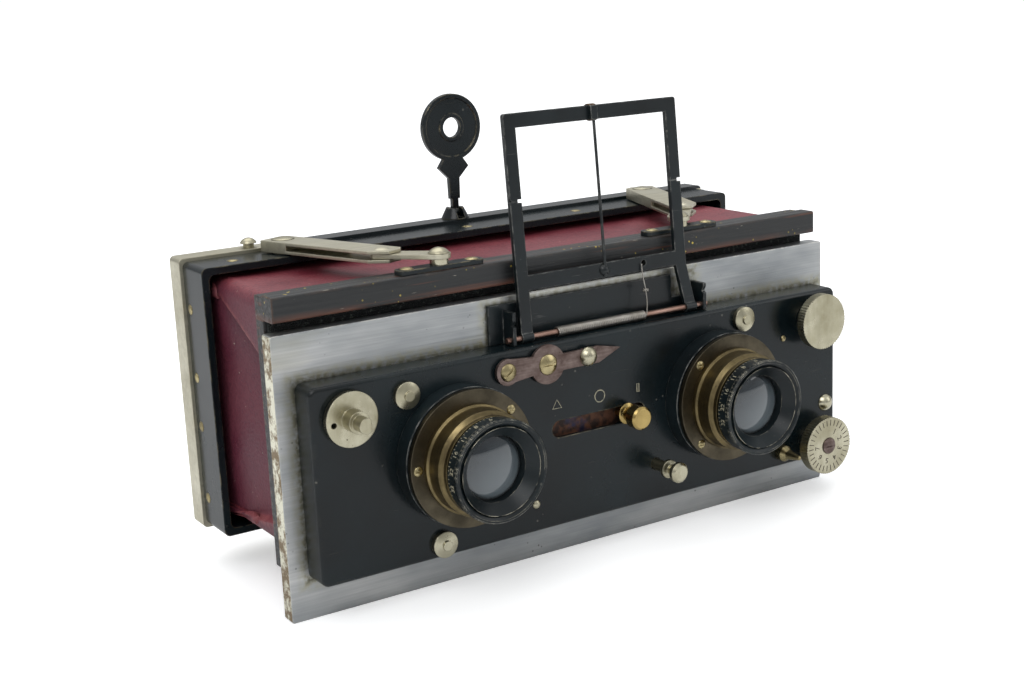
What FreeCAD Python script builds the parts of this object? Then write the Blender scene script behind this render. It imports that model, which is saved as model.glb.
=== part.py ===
import FreeCAD
import Part
import math
import os

# Folding stereo camera, in millimetres. +X is to the right seen from the front,
# the lenses look along -Y and +Z is up. Depths below are counted from the front
# plate's face. Each finished piece is moved forward by bushY, which puts the
# origin at the mouth of the tripod bush, on the underside of the rear body.

os.makedirs("parts", exist_ok=True)

V = FreeCAD.Vector
xAxis = V(1, 0, 0)
yAxis = V(0, 1, 0)
zAxis = V(0, 0, 1)

# rear body
bodyWidth = 130.6
bodyHeight = 54.6
bodyFront = 30.4
bodyBack = 40.3
bodyWall = 1.5
bodyRound = 1.2
railBack = 45.3
railProud = 0.7
railWall = 3.2

# bellows
bellowsWidth = 124.0
bellowsHeight = 49.4
bellowsWall = 0.9

# front standard
standardWidth = 129.0
standardTop = 53.4
standardFront = 4.2
standardBack = 7.4
barHeight = 4.7

# front plate and shutter case
plateLeft = -65.4
plateRight = 66.6
plateBottom = -8.1
plateTop = 46.5
plateThickness = 3.3
caseLeft = -61.4
caseRight = 65.2
caseBottom = -0.4
caseTop = 37.3
caseDepth = 6.0
caseWall = 0.9

# lenses
lensX = 31.4
lensZ = 19.6
tubeRadius = 13.5
flangeRadius = 13.3
flangeFront = -11.2
barrelRadius = 10.2
ringRadius = 9.8
ringBack = -17.6
ringFront = -21.4
lensBore = 6.3
coneDepth = 2.5

# struts
rearPivotX = 45.3
rearPivotY = 36.2
frontPivotX = 28.8
frontPivotY = 2.2
lowerPivotY = 6.0
armLength = 27.2
linkLength = 11.3
armShare = 0.75
armWidth = 6.6
armHeight = 2.3
armLift = 0.3
plateGauge = 0.6
runningGap = 0.05

# finder and sight
rodY = -3.0
rodZ = 38.4
rodRadius = 0.6
finderLeft = -14.6
finderRight = 26.6
finderLean = 4.6
sightX = -1.0
sightY = 43.0


# left or right, and mirrored sideways or upside down from the top left
sides = {"left": -1, "right": 1}
corners = {"top_left": (False, False), "top_right": (True, False),
           "bottom_left": (False, True), "bottom_right": (True, True)}


def box(x0, x1, y0, y1, z0, z1):
    return Part.makeBox(x1 - x0, y1 - y0, z1 - z0, V(x0, y0, z0))


def rod(radius, start, along, length):
    return Part.makeCylinder(radius, length, V(*start), along)


def frontDisc(radius, x, z, front, back):
    """A disc facing the subject, from y = front to y = back."""
    return rod(radius, (x, front, z), yAxis, back - front)


def frontRing(outer, inner, x, z, front, back):
    return frontDisc(outer, x, z, front, back).cut(frontDisc(inner, x, z, front - 1, back + 1))


def joinSolids(first, *others):
    shape = first
    for other in others:
        shape = shape.fuse(other)
    return shape.removeSplitter()


def cutAll(shape, tools):
    for tool in tools:
        shape = shape.cut(tool)
    return shape


def roundedEdges(shape, radius, along):
    """Fillet the straight edges that run along one axis."""
    chosen = []
    for edge in shape.Edges:
        if edge.Curve.TypeId != "Part::GeomLine":
            continue
        way = edge.Vertexes[1].Point - edge.Vertexes[0].Point
        if abs(abs(way.normalize().dot(along)) - 1) < 1e-6:
            chosen.append(edge)
    return shape.makeFillet(radius, chosen)


def turned(shape, degrees, centre, axis):
    copy = shape.copy()
    copy.rotate(V(*centre), axis, degrees)
    return copy


def mirrored(shape, sideways, upsideDown):
    """Mirror a left-hand top piece across the width, the height, or both."""
    copy = shape
    if sideways:
        copy = copy.mirror(V(0, 0, 0), xAxis)
    if upsideDown:
        copy = copy.mirror(V(0, 0, bodyHeight / 2), zAxis)
    return copy


def revolvedFront(points, x, z):
    """Turn an outline of (radius, y) points about a line along Y."""
    outline = [V(x + radius, y, z) for radius, y in points]
    wire = Part.makePolygon(outline + [outline[0]])
    return Part.Face(wire).revolve(V(x, 0, z), yAxis, 360)


def knurled(shape, count, depth, radius, x, z, front, back):
    """Cut fine grooves round a knob or ring that faces the subject."""
    shift = radius + 0.35 * depth
    groove = turned(box(-depth / 2, depth / 2, front, back, -depth / 2, depth / 2), 45, (0, 0, 0), yAxis)
    grooves = []
    for i in range(count):
        angle = 2 * math.pi * i / count
        copy = groove.copy()
        copy.rotate(V(0, 0, 0), yAxis, -math.degrees(angle))
        copy.translate(V(x + shift * math.cos(angle), 0, z + shift * math.sin(angle)))
        grooves.append(copy)
    return shape.cut(Part.makeCompound(grooves))


def domedHead(radius, height, base, along):
    """A low domed head whose flat side sits at base."""
    sphere = (radius * radius + height * height) / (2 * height)
    centre = V(*base) - along * (sphere - height)
    ball = Part.makeSphere(sphere, centre)
    return ball.common(rod(radius + 0.01, base, along, height + 0.1))


def slottedScrew(radius, height, shank, length, base, along, slotWay):
    """A slotted screw: domed head above base, shank below it."""
    head = domedHead(radius, height, base, along)
    across = slotWay.cross(along)
    slot = Part.makeBox(2 * radius + 1, 0.35, height, V(0, 0, 0))
    slot.translate(V(-radius - 0.5, -0.175, 0))
    frame = FreeCAD.Matrix(slotWay.x, across.x, along.x, 0, slotWay.y, across.y, along.y, 0,
                           slotWay.z, across.z, along.z, 0, 0, 0, 0, 1)
    slot = slot.transformGeometry(frame)
    slot.translate(V(*base) + along * (0.45 * height))
    return joinSolids(head, rod(shank, base, along * -1, length)).cut(slot)


def ringBox(width, z0, z1, front, back, wall):
    """A rectangular ring, open towards the subject and the back."""
    outer = box(-width / 2, width / 2, front, back, z0, z1)
    hole = box(-width / 2 + wall, width / 2 - wall, front - 1, back + 1, z0 + wall, z1 - wall)
    return outer, hole


# rear body ---------------------------------------------------------------

screwHeights = (45.4, 31.5, 21.4, 6.3)
topScrewX = (-57.0, -3.0, 25.3)
sideScrewY = 38.0
topScrewY = 34.6
screwShank = 0.5
housingShank = 1.2
bushRadius = 4.6
bushHole = 2.6
bushLength = 2.4
bushY = 35.4


def rearHousing():
    outer, hole = ringBox(bodyWidth, 0, bodyHeight, bodyFront, bodyBack, bodyWall)
    shell = roundedEdges(outer, bodyRound, yAxis).cut(roundedEdges(hole, bodyRound, yAxis))
    _, lipHole = ringBox(bodyWidth, 0, bodyHeight, bodyFront, bodyBack, bodyWall + 4.0)
    lip = box(-bodyWidth / 2 + 1, bodyWidth / 2 - 1, bodyBack - 1.2, bodyBack, 1, bodyHeight - 1)
    shell = joinSolids(shell, lip.cut(lipHole))
    pocket = rod(bushRadius, (0, bushY, -1), zAxis, 4.0)
    seat = rod(bushRadius + 1.4, (0, bushY, 0.4), zAxis, bushLength - 0.4).common(
        box(-20, 20, bodyFront, bodyBack - 0.6, 0, 10))
    holes = [rod(screwShank, (side * (bodyWidth / 2 + 1), sideScrewY, z), xAxis * -side, 6.0)
             for side in (-1, 1) for z in screwHeights]
    holes += [rod(screwShank, (x, topScrewY, bodyHeight + 1), zAxis * -1, 6.0) for x in topScrewX]
    holes += [rod(housingShank, (x, rearPivotY, z), zAxis, 5.0)
              for x in (-rearPivotX, rearPivotX) for z in (-2.5, bodyHeight - 2.5)]
    return cutAll(joinSolids(shell, seat), [pocket] + holes)


def housingScrews():
    screws = []
    for side in (-1, 1):
        for z in screwHeights:
            base = (side * (bodyWidth / 2), sideScrewY, z)
            screws.append(slottedScrew(1.1, 0.3, screwShank, bodyWall, base, xAxis * side, zAxis))
    for x in topScrewX:
        base = (x, topScrewY, bodyHeight)
        screws.append(slottedScrew(1.2, 0.2, screwShank, bodyWall, base, zAxis, xAxis))
    return Part.makeCompound(screws)


def tripodBush():
    flange = rod(bushRadius, (0, bushY, 0), zAxis, 1.0)
    sleeve = rod(bushRadius - 0.6, (0, bushY, 1.0), zAxis, bushLength - 1.0)
    return joinSolids(flange, sleeve).cut(rod(bushHole, (0, bushY, -1), zAxis, bushLength + 2))


def rearRails():
    z0 = -railProud
    z1 = bodyHeight + railProud
    width = bodyWidth + 2 * railProud
    outer, hole = ringBox(width, z0, z1, bodyBack, railBack, railWall)
    frame = roundedEdges(outer, 1.0, yAxis).cut(hole)
    track = box(-width / 2 + 1.2, width / 2 + 1, bodyBack + 1.5, railBack - 1.1, z0 + 1.2, z1 - 1.2)
    button = rod(1.1 + runningGap, (latchX, latchY, z1 - 4), zAxis, 6)
    return cutAll(frame, [track, button])


def bellowsSleeve():
    z0 = (bodyHeight - bellowsHeight) / 2
    front = standardBack + 0.3
    back = bodyBack - 1.5
    outer = box(-bellowsWidth / 2, bellowsWidth / 2, front, back, z0, z0 + bellowsHeight)
    outer = roundedEdges(outer, 3.0, yAxis)
    inner = box(-bellowsWidth / 2 + bellowsWall, bellowsWidth / 2 - bellowsWall, front - 1, back + 1,
                z0 + bellowsWall, z0 + bellowsHeight - bellowsWall)
    return outer.cut(roundedEdges(inner, 2.2, yAxis))


# focusing screen that slides out of the rear rails -----------------------

screenLeft = -62.0
screenRight = 68.6


def screenFrame():
    z0 = 0.9
    z1 = bodyHeight - 0.9
    panel = box(screenLeft, screenRight, bodyBack + 1.75, railBack - 1.35, z0, z1)
    window = box(screenLeft + 7, screenRight - 12, bodyBack, railBack, z0 + 5, z1 - 5)
    rebate = box(screenLeft + 6, screenRight - 11, bodyBack + 2.4, railBack - 1.2, z0 + 4, z1 - 4)
    grip = box(screenRight - 0.01, screenRight + 1.6, bodyBack + 1.2, railBack - 0.8, z0 + 8, z1 - 8)
    return joinSolids(cutAll(panel, [window, rebate]), grip)


def screenGlass():
    return box(screenLeft + 6.1, screenRight - 11.1, bodyBack + 2.4, bodyBack + 3.6, 5.0, bodyHeight - 5.0)


# latch button and peep sight on the rear rails ---------------------------

latchX = -50.0
latchY = 42.8
sightPinZ = bodyHeight + railProud + 1.3
sightPinRadius = 0.6
discRadius = 7.2
discZ = 75.1


def latchButton():
    top = bodyHeight + railProud
    head = domedHead(1.7, 1.0, (latchX, latchY, top + 1.0), zAxis)
    neck = rod(1.7, (latchX, latchY, top + 0.9), zAxis, 0.1)
    return joinSolids(head, neck, rod(1.1, (latchX, latchY, top - 0.6), zAxis, 1.6))


def sightBase():
    top = bodyHeight + railProud
    cone = Part.makeCone(3.1, 1.9, 2.4, V(sightX, sightY, top), zAxis)
    cheeks = cone.cut(box(sightX - 0.85, sightX + 0.85, sightY - 4, sightY + 4, top + 0.2, top + 4))
    pin = rod(sightPinRadius, (sightX - 2.3, sightY, sightPinZ), xAxis, 4.6).common(cone)
    return joinSolids(cheeks, pin)


def peepSight():
    disc = rod(discRadius, (sightX, sightY - 0.55, discZ), yAxis, 1.1)
    recess = frontRing(discRadius - 0.9, 3.0, sightX, discZ, sightY - 0.6, sightY - 0.3)
    hole = rod(2.15, (sightX, sightY - 2, discZ), yAxis, 4)
    shoulder = sightPinZ + 9.9
    outline = [(-1.2, sightPinZ + 3.0), (-1.3, shoulder - 2.4), (-3.7, shoulder), (-2.3, shoulder + 2.0),
               (-2.6, discZ - 5.5), (2.6, discZ - 5.5), (2.3, shoulder + 2.0), (3.7, shoulder),
               (1.3, shoulder - 2.4), (1.2, sightPinZ + 3.0)]
    wire = Part.makePolygon([V(sightX + x, sightY - 0.55, z) for x, z in outline + outline[:1]])
    stem = Part.Face(wire).extrude(V(0, 1.1, 0))
    tang = box(sightX - 0.75, sightX + 0.75, sightY - 0.55, sightY + 0.55, sightPinZ, sightPinZ + 3.1)
    eye = rod(0.95, (sightX - 0.75, sightY, sightPinZ), xAxis, 1.5)
    pinHole = rod(sightPinRadius + runningGap, (sightX - 3, sightY, sightPinZ), xAxis, 6)
    return cutAll(joinSolids(disc, stem, tang, eye), [hole, recess, pinHole])


# struts: a folding knee at each corner -----------------------------------


def armReach(frontY):
    """A lower knee is shorter by as much as its stud stands further back, mostly in the arm."""
    return armLength - armShare * (frontY - frontPivotY)


def linkReach(frontY):
    return linkLength - (1 - armShare) * (frontY - frontPivotY)


def armAngle(frontY):
    """The open arm's angle from -Y, from the knee's two lengths: it stands just past straight."""
    across = rearPivotX - frontPivotX
    along = rearPivotY - frontY
    span = math.hypot(across, along)
    length = armReach(frontY)
    bend = math.acos((length ** 2 + span ** 2 - linkReach(frontY) ** 2) / (2 * length * span))
    return math.degrees(math.atan2(across, along) - bend)


def kneePoint(frontY):
    angle = math.radians(armAngle(frontY))
    length = armReach(frontY)
    return (-rearPivotX + length * math.sin(angle), rearPivotY - length * math.cos(angle))


armBottom = bodyHeight + armLift
linkGauge = 0.9
linkBottom = armBottom + (armHeight - linkGauge) / 2
linkEye = 2.3
armBlock = 4.2
armTipCut = 3.6
webGap = 11.2
rearShank = 1.3
studShank = 1.2


def strutArm(frontY):
    """Channel arm: two plates, a web along the inner edge, and the elbow rivet's heads."""
    half = armWidth / 2
    length = armReach(frontY)
    tip = length + 2.9
    outline = [(-3.0, -half), (tip - armTipCut, -half), (tip, -half + 2.2), (tip, half - 1.2),
               (tip - 1.0, half), (-1.8, half), (-3.0, half - 1.6)]
    wire = Part.makePolygon([V(x, y, armBottom) for x, y in outline + outline[:1]])
    body = Part.Face(wire).extrude(V(0, 0, armHeight))
    cavity = box(armBlock, tip + 1, -half - 1, half + 1, armBottom + plateGauge,
                 armBottom + armHeight - plateGauge)
    web = box(armBlock - 0.2, length - webGap, half - 0.6, half, armBottom, armBottom + armHeight)
    pivot = rod(rearShank + runningGap, (0, 0, armBottom - 1), zAxis, armHeight + 2)
    rivet = domedHead(1.6, 0.4, (length, 0, armBottom + armHeight), zAxis)
    body = joinSolids(body.cut(cavity), web, rivet).cut(pivot)
    body = turned(body, armAngle(frontY) - 90, (0, 0, 0), zAxis)
    body.translate(V(-rearPivotX, rearPivotY, 0))
    return body


def strutLink(frontY):
    """Flat link from the front stud to the elbow, inside the arm's channel."""
    elbow = kneePoint(frontY)
    angle = math.degrees(math.atan2(elbow[1] - frontY, elbow[0] + frontPivotX))
    length = linkReach(frontY)
    outline = [(0, -linkEye), (length - 1, -1.9), (length + 1.2, -1.9), (length + 1.9, -1.2),
               (length + 1.9, 1.2), (length + 1.2, 1.9), (length - 1, 1.9), (0, linkEye)]
    wire = Part.makePolygon([V(x, y, linkBottom) for x, y in outline + outline[:1]])
    blade = Part.Face(wire).extrude(V(0, 0, linkGauge))
    eye = rod(linkEye, (0, 0, linkBottom), zAxis, linkGauge)
    link = joinSolids(blade, eye).cut(rod(studShank + runningGap, (0, 0, linkBottom - 1), zAxis, 3))
    link = turned(link, angle, (0, 0, 0), zAxis)
    link.translate(V(-frontPivotX, frontY, 0))
    return link


def frontPivotStud(frontY):
    """A domed stud that stands on its bracket and carries the link."""
    place = (-frontPivotX, frontY)
    foot = standardTop + bracketGauge
    collar = rod(1.8, (*place, foot), zAxis, linkBottom - runningGap - foot)
    shank = rod(studShank, (*place, foot), zAxis, linkBottom + linkGauge + 0.1 - foot)
    head = domedHead(2.1, 1.1, (*place, linkBottom + linkGauge + runningGap), zAxis)
    return joinSolids(collar, shank, head)


def frontPivotStuds():
    studs = []
    for sideways, upsideDown in corners.values():
        frontY = lowerPivotY if upsideDown else frontPivotY
        studs.append(mirrored(frontPivotStud(frontY), sideways, upsideDown))
    return Part.makeCompound(studs)


def rearPivotScrews():
    screws = []
    for sideways in (False, True):
        for upsideDown in (False, True):
            top = armBottom + armHeight
            base = (-rearPivotX, rearPivotY, top + 0.05)
            screw = slottedScrew(2.4, 0.45, housingShank, 4.5, base, zAxis, xAxis)
            washer = rod(2.4, (-rearPivotX, rearPivotY, bodyHeight), zAxis, armLift - 0.05)
            collar = rod(rearShank, (-rearPivotX, rearPivotY, bodyHeight), zAxis, armLift + armHeight + 0.05)
            screws.append(mirrored(joinSolids(screw, washer, collar), sideways, upsideDown))
    return Part.makeCompound(screws)


# front standard ----------------------------------------------------------

bracketGauge = 1.0
bracketLength = 18.6
bracketScrewReach = 7.1
guideX = 59.5


def bracketPlaces(frontY):
    """The two screw places of a left-hand bracket."""
    return [(-frontPivotX + way * bracketScrewReach, frontY) for way in (-1, 1)]


def standardFrame():
    half = standardWidth / 2
    bottom = bodyHeight - standardTop
    board = box(-half, half, standardFront, standardBack, bottom, standardTop - 0.4)
    window = box(-54, 54, standardFront - 1, standardBack + 1, 6.5, 41.5)
    bar = box(-half, half, 0, standardFront, standardTop - barHeight, standardTop)
    bar = roundedEdges(bar, 0.4, xAxis)
    frame = joinSolids(board.cut(window), bar)
    tools = [box(x - 1.6, x + 1.6, 0, standardBack + 1, 17.0, 40.0) for x in (-guideX, guideX)]
    for sideways, upsideDown in corners.values():
        frontY = lowerPivotY if upsideDown else frontPivotY
        for place in bracketPlaces(frontY):
            tools.append(mirrored(rod(0.6, (*place, standardTop - 2.0), zAxis, 3.0), sideways, upsideDown))
    return cutAll(frame, tools)


def lightSeal():
    """Black cloth strip on the board, behind the front plate."""
    half = standardWidth / 2 - 0.6
    strip = box(-half, half, plateThickness + 0.25, standardFront, 41.8, standardTop - barHeight)
    return strip


def strutBracket(frontY):
    """The top-left bracket, a strip with round ends."""
    half = bracketLength / 2
    z = standardTop
    strip = box(-frontPivotX - half, -frontPivotX + half, frontY - 1.6, frontY + 1.6, z, z + bracketGauge)
    strip = roundedEdges(strip, 1.2, zAxis)
    return cutAll(strip, [rod(0.6, (*place, z - 1), zAxis, 4) for place in bracketPlaces(frontY)])


def strutBrackets():
    brackets = []
    for sideways, upsideDown in corners.values():
        frontY = lowerPivotY if upsideDown else frontPivotY
        brackets.append(mirrored(strutBracket(frontY), sideways, upsideDown))
    return Part.makeCompound(brackets)


def bracketScrews():
    screws = []
    for sideways, upsideDown in corners.values():
        frontY = lowerPivotY if upsideDown else frontPivotY
        for place in bracketPlaces(frontY):
            base = (*place, standardTop + bracketGauge)
            screw = slottedScrew(1.4, 0.35, 0.6, 3.0, base, zAxis, xAxis)
            screws.append(mirrored(screw, sideways, upsideDown))
    return Part.makeCompound(screws)


# front plate, shutter case and what is fixed to them ----------------------

nutRadius = 2.6
nutPlaces = ((-42.1, 32.9), (38.7, 34.4), (-35.9, 2.4))
domePlace = (62.4, 11.6)
smallScrewPlace = (-14.5, 5.3)
winderPlace = (-53.9, 30.8)
tensionPlace = (57.2, 31.6)
focusPlace = (58.6, 3.6)
leverPlace = (-11.2, 33.4)
releasePlace = (15.2, 7.4)
nipplePlace = (49.4, 2.8)
slotLeft = -10.1
slotRight = 12.6
slotHalf = 1.75
caseFront = -caseDepth
panelBack = caseFront + caseWall


def frontPlate():
    """Aluminium lens board, with tongues behind it that ride in the standard's slots."""
    plate = box(plateLeft, plateRight, 0, plateThickness, plateBottom, plateTop)
    plate = roundedEdges(plate, 0.5, yAxis)
    bores = [frontDisc(8.5, x, lensZ, -1, plateThickness + 1) for x in (-lensX, lensX)]
    tongues = [box(x - 1.5, x + 1.5, plateThickness - 0.5, standardBack - 0.3, 23.0, 36.0)
               for x in (-guideX, guideX)]
    return cutAll(joinSolids(plate, *tongues), bores)


def shutterCase():
    outer = box(caseLeft, caseRight, caseFront, 0, caseBottom, caseTop)
    outer = roundedEdges(outer, 1.6, yAxis)
    frontEdges = [edge for edge in outer.Edges
                  if all(abs(vertex.Y - caseFront) < 1e-6 for vertex in edge.Vertexes)]
    outer = outer.makeFillet(0.8, frontEdges)
    inner = box(caseLeft + caseWall, caseRight - caseWall, panelBack, 1, caseBottom + caseWall,
                caseTop - caseWall)
    case = outer.cut(roundedEdges(inner, 0.8, yAxis))
    holes = [frontDisc(11.2, x, lensZ, caseFront - 1, panelBack + 1) for x in (-lensX, lensX)]
    holes += [frontDisc(radius + runningGap, *place, caseFront - 1, panelBack + 1)
              for radius, place in ((1.5, winderPlace), (1.4, tensionPlace), (1.5, focusPlace),
                                    (1.2, releasePlace), (0.9, leverPlace))]
    slot = box(slotLeft + slotHalf, slotRight - slotHalf, caseFront - 1, panelBack + 1,
               lensZ - slotHalf, lensZ + slotHalf)
    ends = [frontDisc(slotHalf, x, lensZ, caseFront - 1, panelBack + 1)
            for x in (slotLeft + slotHalf, slotRight - slotHalf)]
    return cutAll(case, holes + [joinSolids(slot, *ends)])


def panelStuds():
    """Three round nuts, a plain dome and a small screw head on the case's front."""
    studs = []
    for x, z in nutPlaces:
        nut = rod(nutRadius, (x, caseFront - 1.0, z), yAxis, 1.0)
        crown = domedHead(nutRadius, 0.5, (x, caseFront - 1.0, z), yAxis * -1)
        pin = rod(1.0, (x, caseFront - 1.9, z), yAxis, 1.9)
        studs.append(joinSolids(nut, crown, pin))
    studs.append(domedHead(1.95, 1.3, (domePlace[0], caseFront, domePlace[1]), yAxis * -1))
    studs.append(domedHead(0.9, 0.4, (smallScrewPlace[0], caseFront, smallScrewPlace[1]), yAxis * -1))
    return Part.makeCompound(studs)


def pointerNipple():
    x, z = nipplePlace
    outline = [(0, caseFront - 6.2), (0.45, caseFront - 5.9), (1.1, caseFront - 2.6), (1.75, caseFront - 1.5),
               (1.75, caseFront), (0, caseFront)]
    return revolvedFront(outline, x, z)


def lensTube(side):
    """Black flanged tube fixed to the case: the lens unit slides in it."""
    x = side * lensX
    tube = frontRing(tubeRadius, 9.3, x, lensZ, flangeFront + 1.4, caseFront)
    spigot = frontRing(11.1, 9.3, x, lensZ, caseFront, panelBack)
    return joinSolids(tube, spigot)


def finderBracket():
    """Back sheet on the plate with a forward ear at each end for the hinge rod."""
    z0 = caseTop + 0.1
    top = 45.2
    left = -20.3
    right = 24.2
    sheet = box(left, right, -0.7, 0, z0, top)
    foot = box(left, 30.6, -0.7, 0, z0, 40.4)
    leftEar = box(-17.0, -16.3, -4.2, 0, z0, 44.0)
    rightEar = box(29.9, 30.6, -4.2, 0, z0, 43.0)
    tip = box(-18, 32, -5, -3.6, 41.2, 46)
    chamfer = turned(tip, 30, (0, -3.9, 41.2), xAxis)
    shape = joinSolids(sheet, foot, leftEar, rightEar).cut(chamfer)
    return shape.cut(rod(rodRadius, (-30, rodY, rodZ), xAxis, 70))


def finderRod():
    return rod(rodRadius, (-17.8, rodY, rodZ), xAxis, 49.2)


# finder: a frame on the rod, upright and then leaned back to its stop -----

finderCross = 9.0
finderCrossTop = 12.0
finderJoint = 28.0
finderLap = 1.6
notchDeep = 0.9
notchTall = 0.7
finderTop = 43.1
finderGauge = 1.0
finderBar = 2.6
finderFlare = 1.8
wireX = 6.0
wireRadius = 0.3


def leaned(shape):
    return turned(shape, -finderLean, (0, rodY, rodZ), xAxis)


def finderNotches():
    """A nick in the edge of each arm where bow and frame meet."""
    z = rodZ + finderJoint - finderLap - notchTall / 2
    return [box(x, x + notchDeep, rodY - 2, rodY + 2, z, z + notchTall)
            for x in (finderLeft + finderBar - notchDeep, finderRight - notchDeep)]


def finderFrame():
    """Lower half: two arms with eyes on the rod, joined by a cross-bar."""
    y0 = rodY - finderGauge / 2
    y1 = rodY + finderGauge / 2
    leftArm = box(finderLeft, finderLeft + finderBar, y0, y1, rodZ, rodZ + finderJoint)
    outline = [(finderRight - finderBar, finderJoint), (finderRight, finderJoint), (finderRight, finderCross),
               (finderRight + finderFlare, 0), (finderRight + finderFlare - finderBar, 0),
               (finderRight - finderBar, finderCross)]
    wire = Part.makePolygon([V(x, y0, rodZ + z) for x, z in outline + outline[:1]])
    rightArm = Part.Face(wire).extrude(V(0, finderGauge, 0))
    cross = box(finderLeft, finderRight, y0, y1, rodZ + finderCross, rodZ + finderCrossTop)
    eyes = [rod(1.0, (x, rodY, rodZ), xAxis, finderBar)
            for x in (finderLeft, finderRight + finderFlare - finderBar)]
    hole = rod(0.6, (15.8, y0 - 1, rodZ + finderCross + 1.6), yAxis, 4)
    laps = box(finderLeft - 1, finderRight + 1, y0 - 1, rodY,
               rodZ + finderJoint - finderLap, rodZ + finderTop)
    shape = joinSolids(leftArm, rightArm, cross, *eyes)
    bore = rod(rodRadius + runningGap, (-30, rodY, rodZ), xAxis, 70)
    return leaned(cutAll(shape, [hole, bore, laps] + finderNotches()))


def finderBow():
    """Upper half: an inverted U lapped in front of the arms."""
    y0 = rodY - finderGauge / 2
    y1 = rodY + finderGauge / 2
    outer = box(finderLeft, finderRight, y0, y1, rodZ + finderJoint - finderLap, rodZ + finderTop)
    inner = box(finderLeft + finderBar, finderRight - finderBar, y0 - 1, y1 + 1,
                rodZ + finderJoint - 3, rodZ + finderTop - 2.8)
    lap = box(finderLeft - 1, finderRight + 1, rodY, y1 + 1, rodZ, rodZ + finderJoint)
    return leaned(cutAll(roundedEdges(outer, 0.6, yAxis), [inner, lap] + finderNotches()))


def sightingWire():
    y = rodY - finderGauge / 2 - wireRadius - 0.02
    wire = rod(wireRadius, (wireX, y, rodZ + finderCross + 0.3), zAxis, finderTop - finderCross - 0.6)
    blob = domedHead(1.2, 0.8, (wireX, rodY - finderGauge / 2, rodZ + finderCross + 1.5), yAxis * -1)
    wrap = box(wireX - 0.8, wireX + 0.8, rodY - finderGauge / 2 - 0.8, rodY - finderGauge / 2,
               rodZ + finderTop - 2.8, rodZ + finderTop)
    return leaned(joinSolids(wire, blob, wrap))


def finderSpring():
    """Close coil round the rod with a leg hooked up to the cross-bar."""
    coil = rod(1.05, (-6.2, rodY, rodZ), xAxis, 21.5).cut(rod(0.7, (-7, rodY, rodZ), xAxis, 24))
    y = rodY - 0.85
    leg = rod(0.2, (15.2, y, rodZ), zAxis, finderCross + 1.5)
    hook = rod(0.2, (15.8, rodY - 1.0, rodZ + finderCross + 1.6), yAxis, 1.6)
    knot = Part.makeSphere(0.5, V(15.2, y, rodZ + 5.2))
    link = rod(0.2, (15.1, y, rodZ + finderCross + 1.5), xAxis, 0.8)
    return leaned(joinSolids(coil, leg, hook, knot, link))


# lenses: flange, barrel, cell and glass slide together --------------------

flangeScrewAngles = {-1: (42, 180, 300), 1: (135, 225, 355)}
flangeScrewReach = 11.8
flangeBore = 7.6


def lensFlange(side):
    x = side * lensX
    disc = frontRing(flangeRadius, flangeBore, x, lensZ, flangeFront, flangeFront + 1.1)
    step = frontRing(9.25, flangeBore, x, lensZ, flangeFront + 1.1, panelBack - 0.4)
    holes = []
    for angle in flangeScrewAngles[side]:
        place = screwPlace(side, angle)
        holes.append(frontDisc(0.5, *place, flangeFront - 1, flangeFront + 2))
    return cutAll(joinSolids(disc, step), holes)


def screwPlace(side, angle):
    turn = math.radians(angle)
    return (side * lensX + flangeScrewReach * math.cos(turn), lensZ + flangeScrewReach * math.sin(turn))


def flangeScrews():
    screws = []
    for side in (-1, 1):
        for angle in flangeScrewAngles[side]:
            x, z = screwPlace(side, angle)
            screws.append(slottedScrew(1.0, 0.35, 0.5, 1.0, (x, flangeFront, z), yAxis * -1, xAxis))
    return Part.makeCompound(screws)


def lensBarrel(side):
    """Brass barrel with turned steps, screwed into the flange."""
    x = side * lensX
    seat = flangeBore - runningGap
    outline = [(7.0, panelBack - 0.2), (seat, panelBack - 0.2), (seat, flangeFront), (10.6, flangeFront),
               (10.6, flangeFront - 0.9), (barrelRadius, flangeFront - 1.2), (barrelRadius, ringBack + 1.9),
               (9.5, ringBack + 1.2), (9.5, ringBack + 0.2), (8.4, ringBack + 0.2),
               (8.4, ringFront + coneDepth), (7.0, ringFront + coneDepth)]
    return revolvedFront(outline, x, lensZ)


def irisRing(side):
    """Engraved band and knurled lip that turn on the barrel's nose."""
    x = side * lensX
    bore = 8.4 + runningGap
    outline = [(bore, ringBack), (9.0, ringBack), (9.6, ringBack - 0.5), (9.6, ringFront + 1.1),
               (ringRadius, ringFront + 0.9), (ringRadius, ringFront + 0.2), (ringRadius - 0.2, ringFront),
               (9.2, ringFront), (bore, ringFront + 0.5)]
    ring = revolvedFront(outline, x, lensZ)
    return knurled(ring, 72, 0.35, ringRadius, x, lensZ, ringFront - 0.1, ringFront + 1.0)


def lensCell(side):
    """Screwed ring with a bevel that holds the front element."""
    x = side * lensX
    shoulder = ringFront + coneDepth - 0.05
    outline = [(lensBore, ringFront + 2.2), (8.35, ringFront + 0.1), (8.35, shoulder),
               (6.95, shoulder), (6.95, ringFront + 6.0), (lensBore, ringFront + 6.0)]
    return revolvedFront(outline, x, lensZ)


def lensGlass(side):
    """Front element: a disc with a domed front."""
    x = side * lensX
    dome = domedHead(lensBore - 0.02, 1.0, (x, ringFront + 3.8, lensZ), yAxis * -1)
    return joinSolids(dome, frontDisc(lensBore - 0.02, x, lensZ, ringFront + 3.8, ringFront + 5.6))


# controls on the case -----------------------------------------------------

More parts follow.
